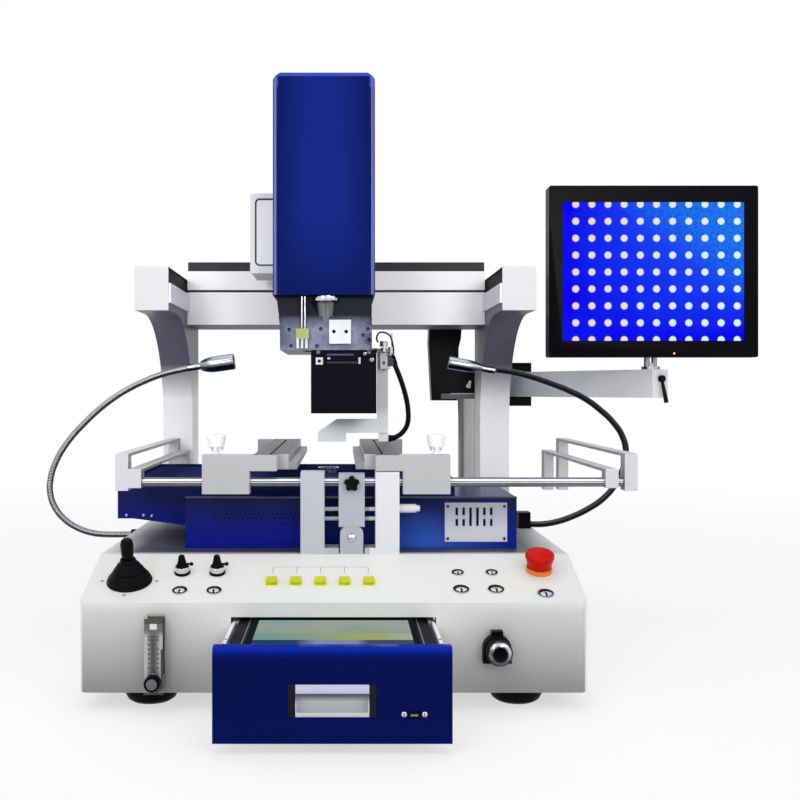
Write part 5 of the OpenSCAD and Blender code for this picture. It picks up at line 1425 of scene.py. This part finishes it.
def makeMonitor():
    shiftPost(dressed("monitor_bracket", bracketBlack, 1.6, 20))
    face = monitor["bracketFace"]
    trim = blocks(bracketBlocks, y=face)
    for x, z, angle, length in monitor["levers"]:
        lever = [(2.0, 0), (2.6, 0.8), (3.6, length * 0.5), (5.4, length * 0.9), (4.6, length),
                 (1.5, length + 0.6)]
        place = Matrix.Translation(at(x, face - monitor["leverOut"], z))
        turn = Matrix.Rotation(math.radians(angle), 4, "Y")
        trim.append(turned("bracket_lever", lever, whitePlastic, place @ turn, 20))
    join(merged("bracket_trim", trim), "monitor_bracket")
    arm = dressed("swing_arm", tubeAlloy, 1.6, 40)
    paintFaces(arm, capAlloy, lambda x, y, z, n: n.y < 0.5 and n.x > 0.5
               and x - monitor["armSlope"] * (monitor["armFront"] - y) > monitor["capAt"])
    dressed("clamp_lever", blackPlastic)
    dressed("monitor_post", rodChrome, 0.8, 10)
    dressed("monitor_shell", blackGloss, 1.6, 20,
            lambda x, y, z: y < monitor["faceEdge"] or y > monitor["backEdge"])
    dressed("monitor_screen", screenPicture)
    led = turned("monitor_led", monitor["ledProfile"], ledOrange, frontMatrix(*monitor["led"]), 20)
    join(led, "monitor_shell")


makeMonitor()
print("monitor done")

# Clamp table and heater

table = {"middle": 62, "frameBack": (170, 600), "bolt": (25.5, 127.2, 214), "starFront": 120,
         "boltProfile": [(6.2, -0.4), (6.2, 1.0), (5.0, 2.6), (2.4, 3.4), (0.6, 3.6)]}
heater = {"seam": (264.8, 269), "seamFront": 188.5, "glass": 285, "slotFront": 185.9,
          "screws": [(-330, 250, 232), (-303, 250, 232), (-290, 250, 231)], "screwRadius": 2.4,
          "bars": [212.2 + (i - 2.5) * 10.5 for i in (0, 1, 4, 5)]}
ventBar = ("vent_bar", (-2.2, 2.2), (187, 188.6), (234, 240), ventSteel, 0.3)


def makeTable():
    dressed("table_supports", supportAlloy, 0.8, 15)
    dressed("table_rods", rodChrome)
    frames = dressed("end_frames", framePaint, 0.8, 15)
    # Painted shade on the frames' faces that turn to the middle
    paintFaces(frames, frameDark, lambda x, y, z, n: abs(n.x) > 0.9 and within(y, *table["frameBack"])
               and (x - table["middle"]) * n.x < 0)
    bolt = turned("tongue_bolt", table["boltProfile"], chrome, frontMatrix(*table["bolt"]), 32)
    join(bolt, "table_supports")
    for node in ("left_jaw", "right_jaw"):
        dressed(node, jawPaint, 0.7, 12)
    for node in ("left_thumb_knob", "right_thumb_knob"):
        dressed(node, whitePlastic)
    dressed("star_knob", blackPlastic, 0.9, 0, lambda x, y, z: y < table["starFront"], 3, 40)


def makeHeater():
    box = dressed("heater_box", heaterBlue, 0.8, 30)
    paintFaces(box, darkChrome, lambda x, y, z, n: within(z, *heater["seam"]) and y < heater["seamFront"])
    paintFaces(box, glassBlue, lambda x, y, z, n: z > heater["glass"] and n.z > 0.5)
    vent = dressed("vent_panel", ventSteel, 0.4, 3)
    paintFaces(vent, darkChrome, lambda x, y, z, n: y < heater["slotFront"])
    dressed("lower_nozzle", chrome)
    parts = [screwHead("tray_screw", place, heater["screwRadius"], lampSteel) for place in heater["screws"]]
    for x in heater["bars"]:
        parts += blocks([ventBar], x)
    join(merged("heater_trim", parts), "heater_box")


makeTable()
makeHeater()
print("table and heater done")

# Gooseneck lamps: a ribbed neck along the part's own route, and a turned head on its end

necks = {
    "left": {"side": -1, "y": 392, "tilt": 8, "node": "left_lamp", "lamp": (1.0, 8, 33, 67.3),
             "route": [(0.5, -8), (20, -8), (46, -8), (72, -6), (98, 2), (122, 17), (139.4, 38), (147.6, 61),
                       (147.6, 86), (137.6, 118), (117, 152), (89.5, 183), (64, 207), (38, 227), (12, 243),
                       (-15, 256), (-41, 266), (-68, 273), (-102, 280)],
             "start": (-480, 392, 308), "end": (-380, 392, 417)},
    "right": {"side": 1, "y": 420, "tilt": 10, "node": "right_lamp", "lamp": (0.78, 0, 27, 60),
              "route": [(-4.5, 6), (18, 6), (43, 10), (70, 19), (99, 33), (125, 51), (145, 74), (159, 102),
                        (164.5, 132), (158, 160), (142, 184), (119, 206), (93, 225), (63, 240), (30, 253),
                        (-7, 265), (-42, 273), (-86, 278)],
              "start": (501, 420, 292), "end": (492, 420, 362)},
}
neckShape = {"radius": 5.5, "crest": 0.45, "pitch": 2.6, "rises": (0.28, 0.44, 0.28), "sides": 16}
lampShape = {"collar": [(4.6, -24), (5.6, -22.5), (6.3, -20), (6.3, -7), (5.8, -5), (6.0, 0)],
             "cone": [(8.4, 0.1), (10.6, 0.3), (12.4, 0.54), (13.5, 0.78), (13.9, 1.0)],
             "rim": [(13.9, -5), (13.7, -0.8), (13.0, 0), (12.2, 0), (12.2, -4.3)],
             "lens": [(12.1, -4.7), (11.2, -3.3), (7.3, -2.3), (2.0, -1.9)]}


# Lamp head: a collar on the neck, a short swelling cone and a straight barrel
def lampProfile(girth, coneFrom, coneTo, end):
    collar = [(r, z + coneFrom) for r, z in lampShape["collar"]]
    cone = [(r * girth, coneFrom + t * (coneTo - coneFrom)) for r, t in lampShape["cone"]]
    rim = [(r * girth, end + z) for r, z in lampShape["rim"]]
    return collar + cone + rim, [(r * girth, end + z) for r, z in lampShape["lens"]]


# One rib of the neck, open at both ends
def makeRib(name):
    outer = neckShape["radius"]
    valley = outer - neckShape["crest"]
    clearSelection()
    bpy.ops.mesh.primitive_circle_add(vertices=neckShape["sides"], radius=valley * mm)
    rib = bpy.context.object
    rib.name = name
    openEdit(rib)
    for rise, scale in zip(neckShape["rises"], (outer / valley, 1, valley / outer)):
        lift = {"value": (0, 0, rise * neckShape["pitch"] * mm)}
        bpy.ops.mesh.extrude_region_move(TRANSFORM_OT_translate=lift)
        bpy.ops.transform.resize(value=(scale, scale, 1), center_override=(0, 0, 0))
    bpy.ops.mesh.select_all(action="SELECT")
    bpy.ops.mesh.normals_make_consistent(inside=False)
    closeEdit()
    return rib


def makeLamp(side, values):
    points = [at(values["side"] * (halfWidth + x), values["y"], deckHeight + z) for x, z in values["route"]]
    line = route("neck_line", points, 0, 14)
    length = line.data.splines[0].calc_length()
    neck = makeRib(side + "_neck")
    many = neck.modifiers.new("ribs", "ARRAY")
    many.count = int(length / (neckShape["pitch"] * mm))
    many.use_relative_offset = False
    many.use_constant_offset = True
    many.constant_offset_displace = (0, 0, length / many.count)
    many.use_merge_vertices = True
    many.merge_threshold = 0.00008
    bend = neck.modifiers.new("bend", "CURVE")
    bend.object = line
    bend.deform_axis = "POS_Z"
    choose(neck)
    for modifier in ("ribs", "bend"):
        bpy.ops.object.modifier_apply(modifier=modifier)
    bpy.data.objects.remove(line, do_unlink=True)
    settle(neck)
    coat(neck, neckSteel if side == "left" else neckDark)
    bpy.ops.object.shade_smooth_by_angle(angle=math.radians(60))
    node = values["node"]
    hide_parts("lamp_necks", node)
    at(*values["start"])
    at(*values["end"])
    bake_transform(neck)
    turn = Matrix.Rotation(math.radians(-values["side"] * (90 - values["tilt"])), 4, "Y")
    matrix = Matrix.Translation(points[-1]) @ turn
    shellProfile, lensProfile = lampProfile(*values["lamp"])
    shell = turned(side + "_lamp_shell", shellProfile, lampSteel, matrix, 48, False)
    lens = turned(side + "_lens", lensProfile, lensGlow, matrix, 40)
    join(merged(side + "_lamp_head", [shell, lens]), node)


for side, values in necks.items():
    makeLamp(side, values)
print("lamps done")
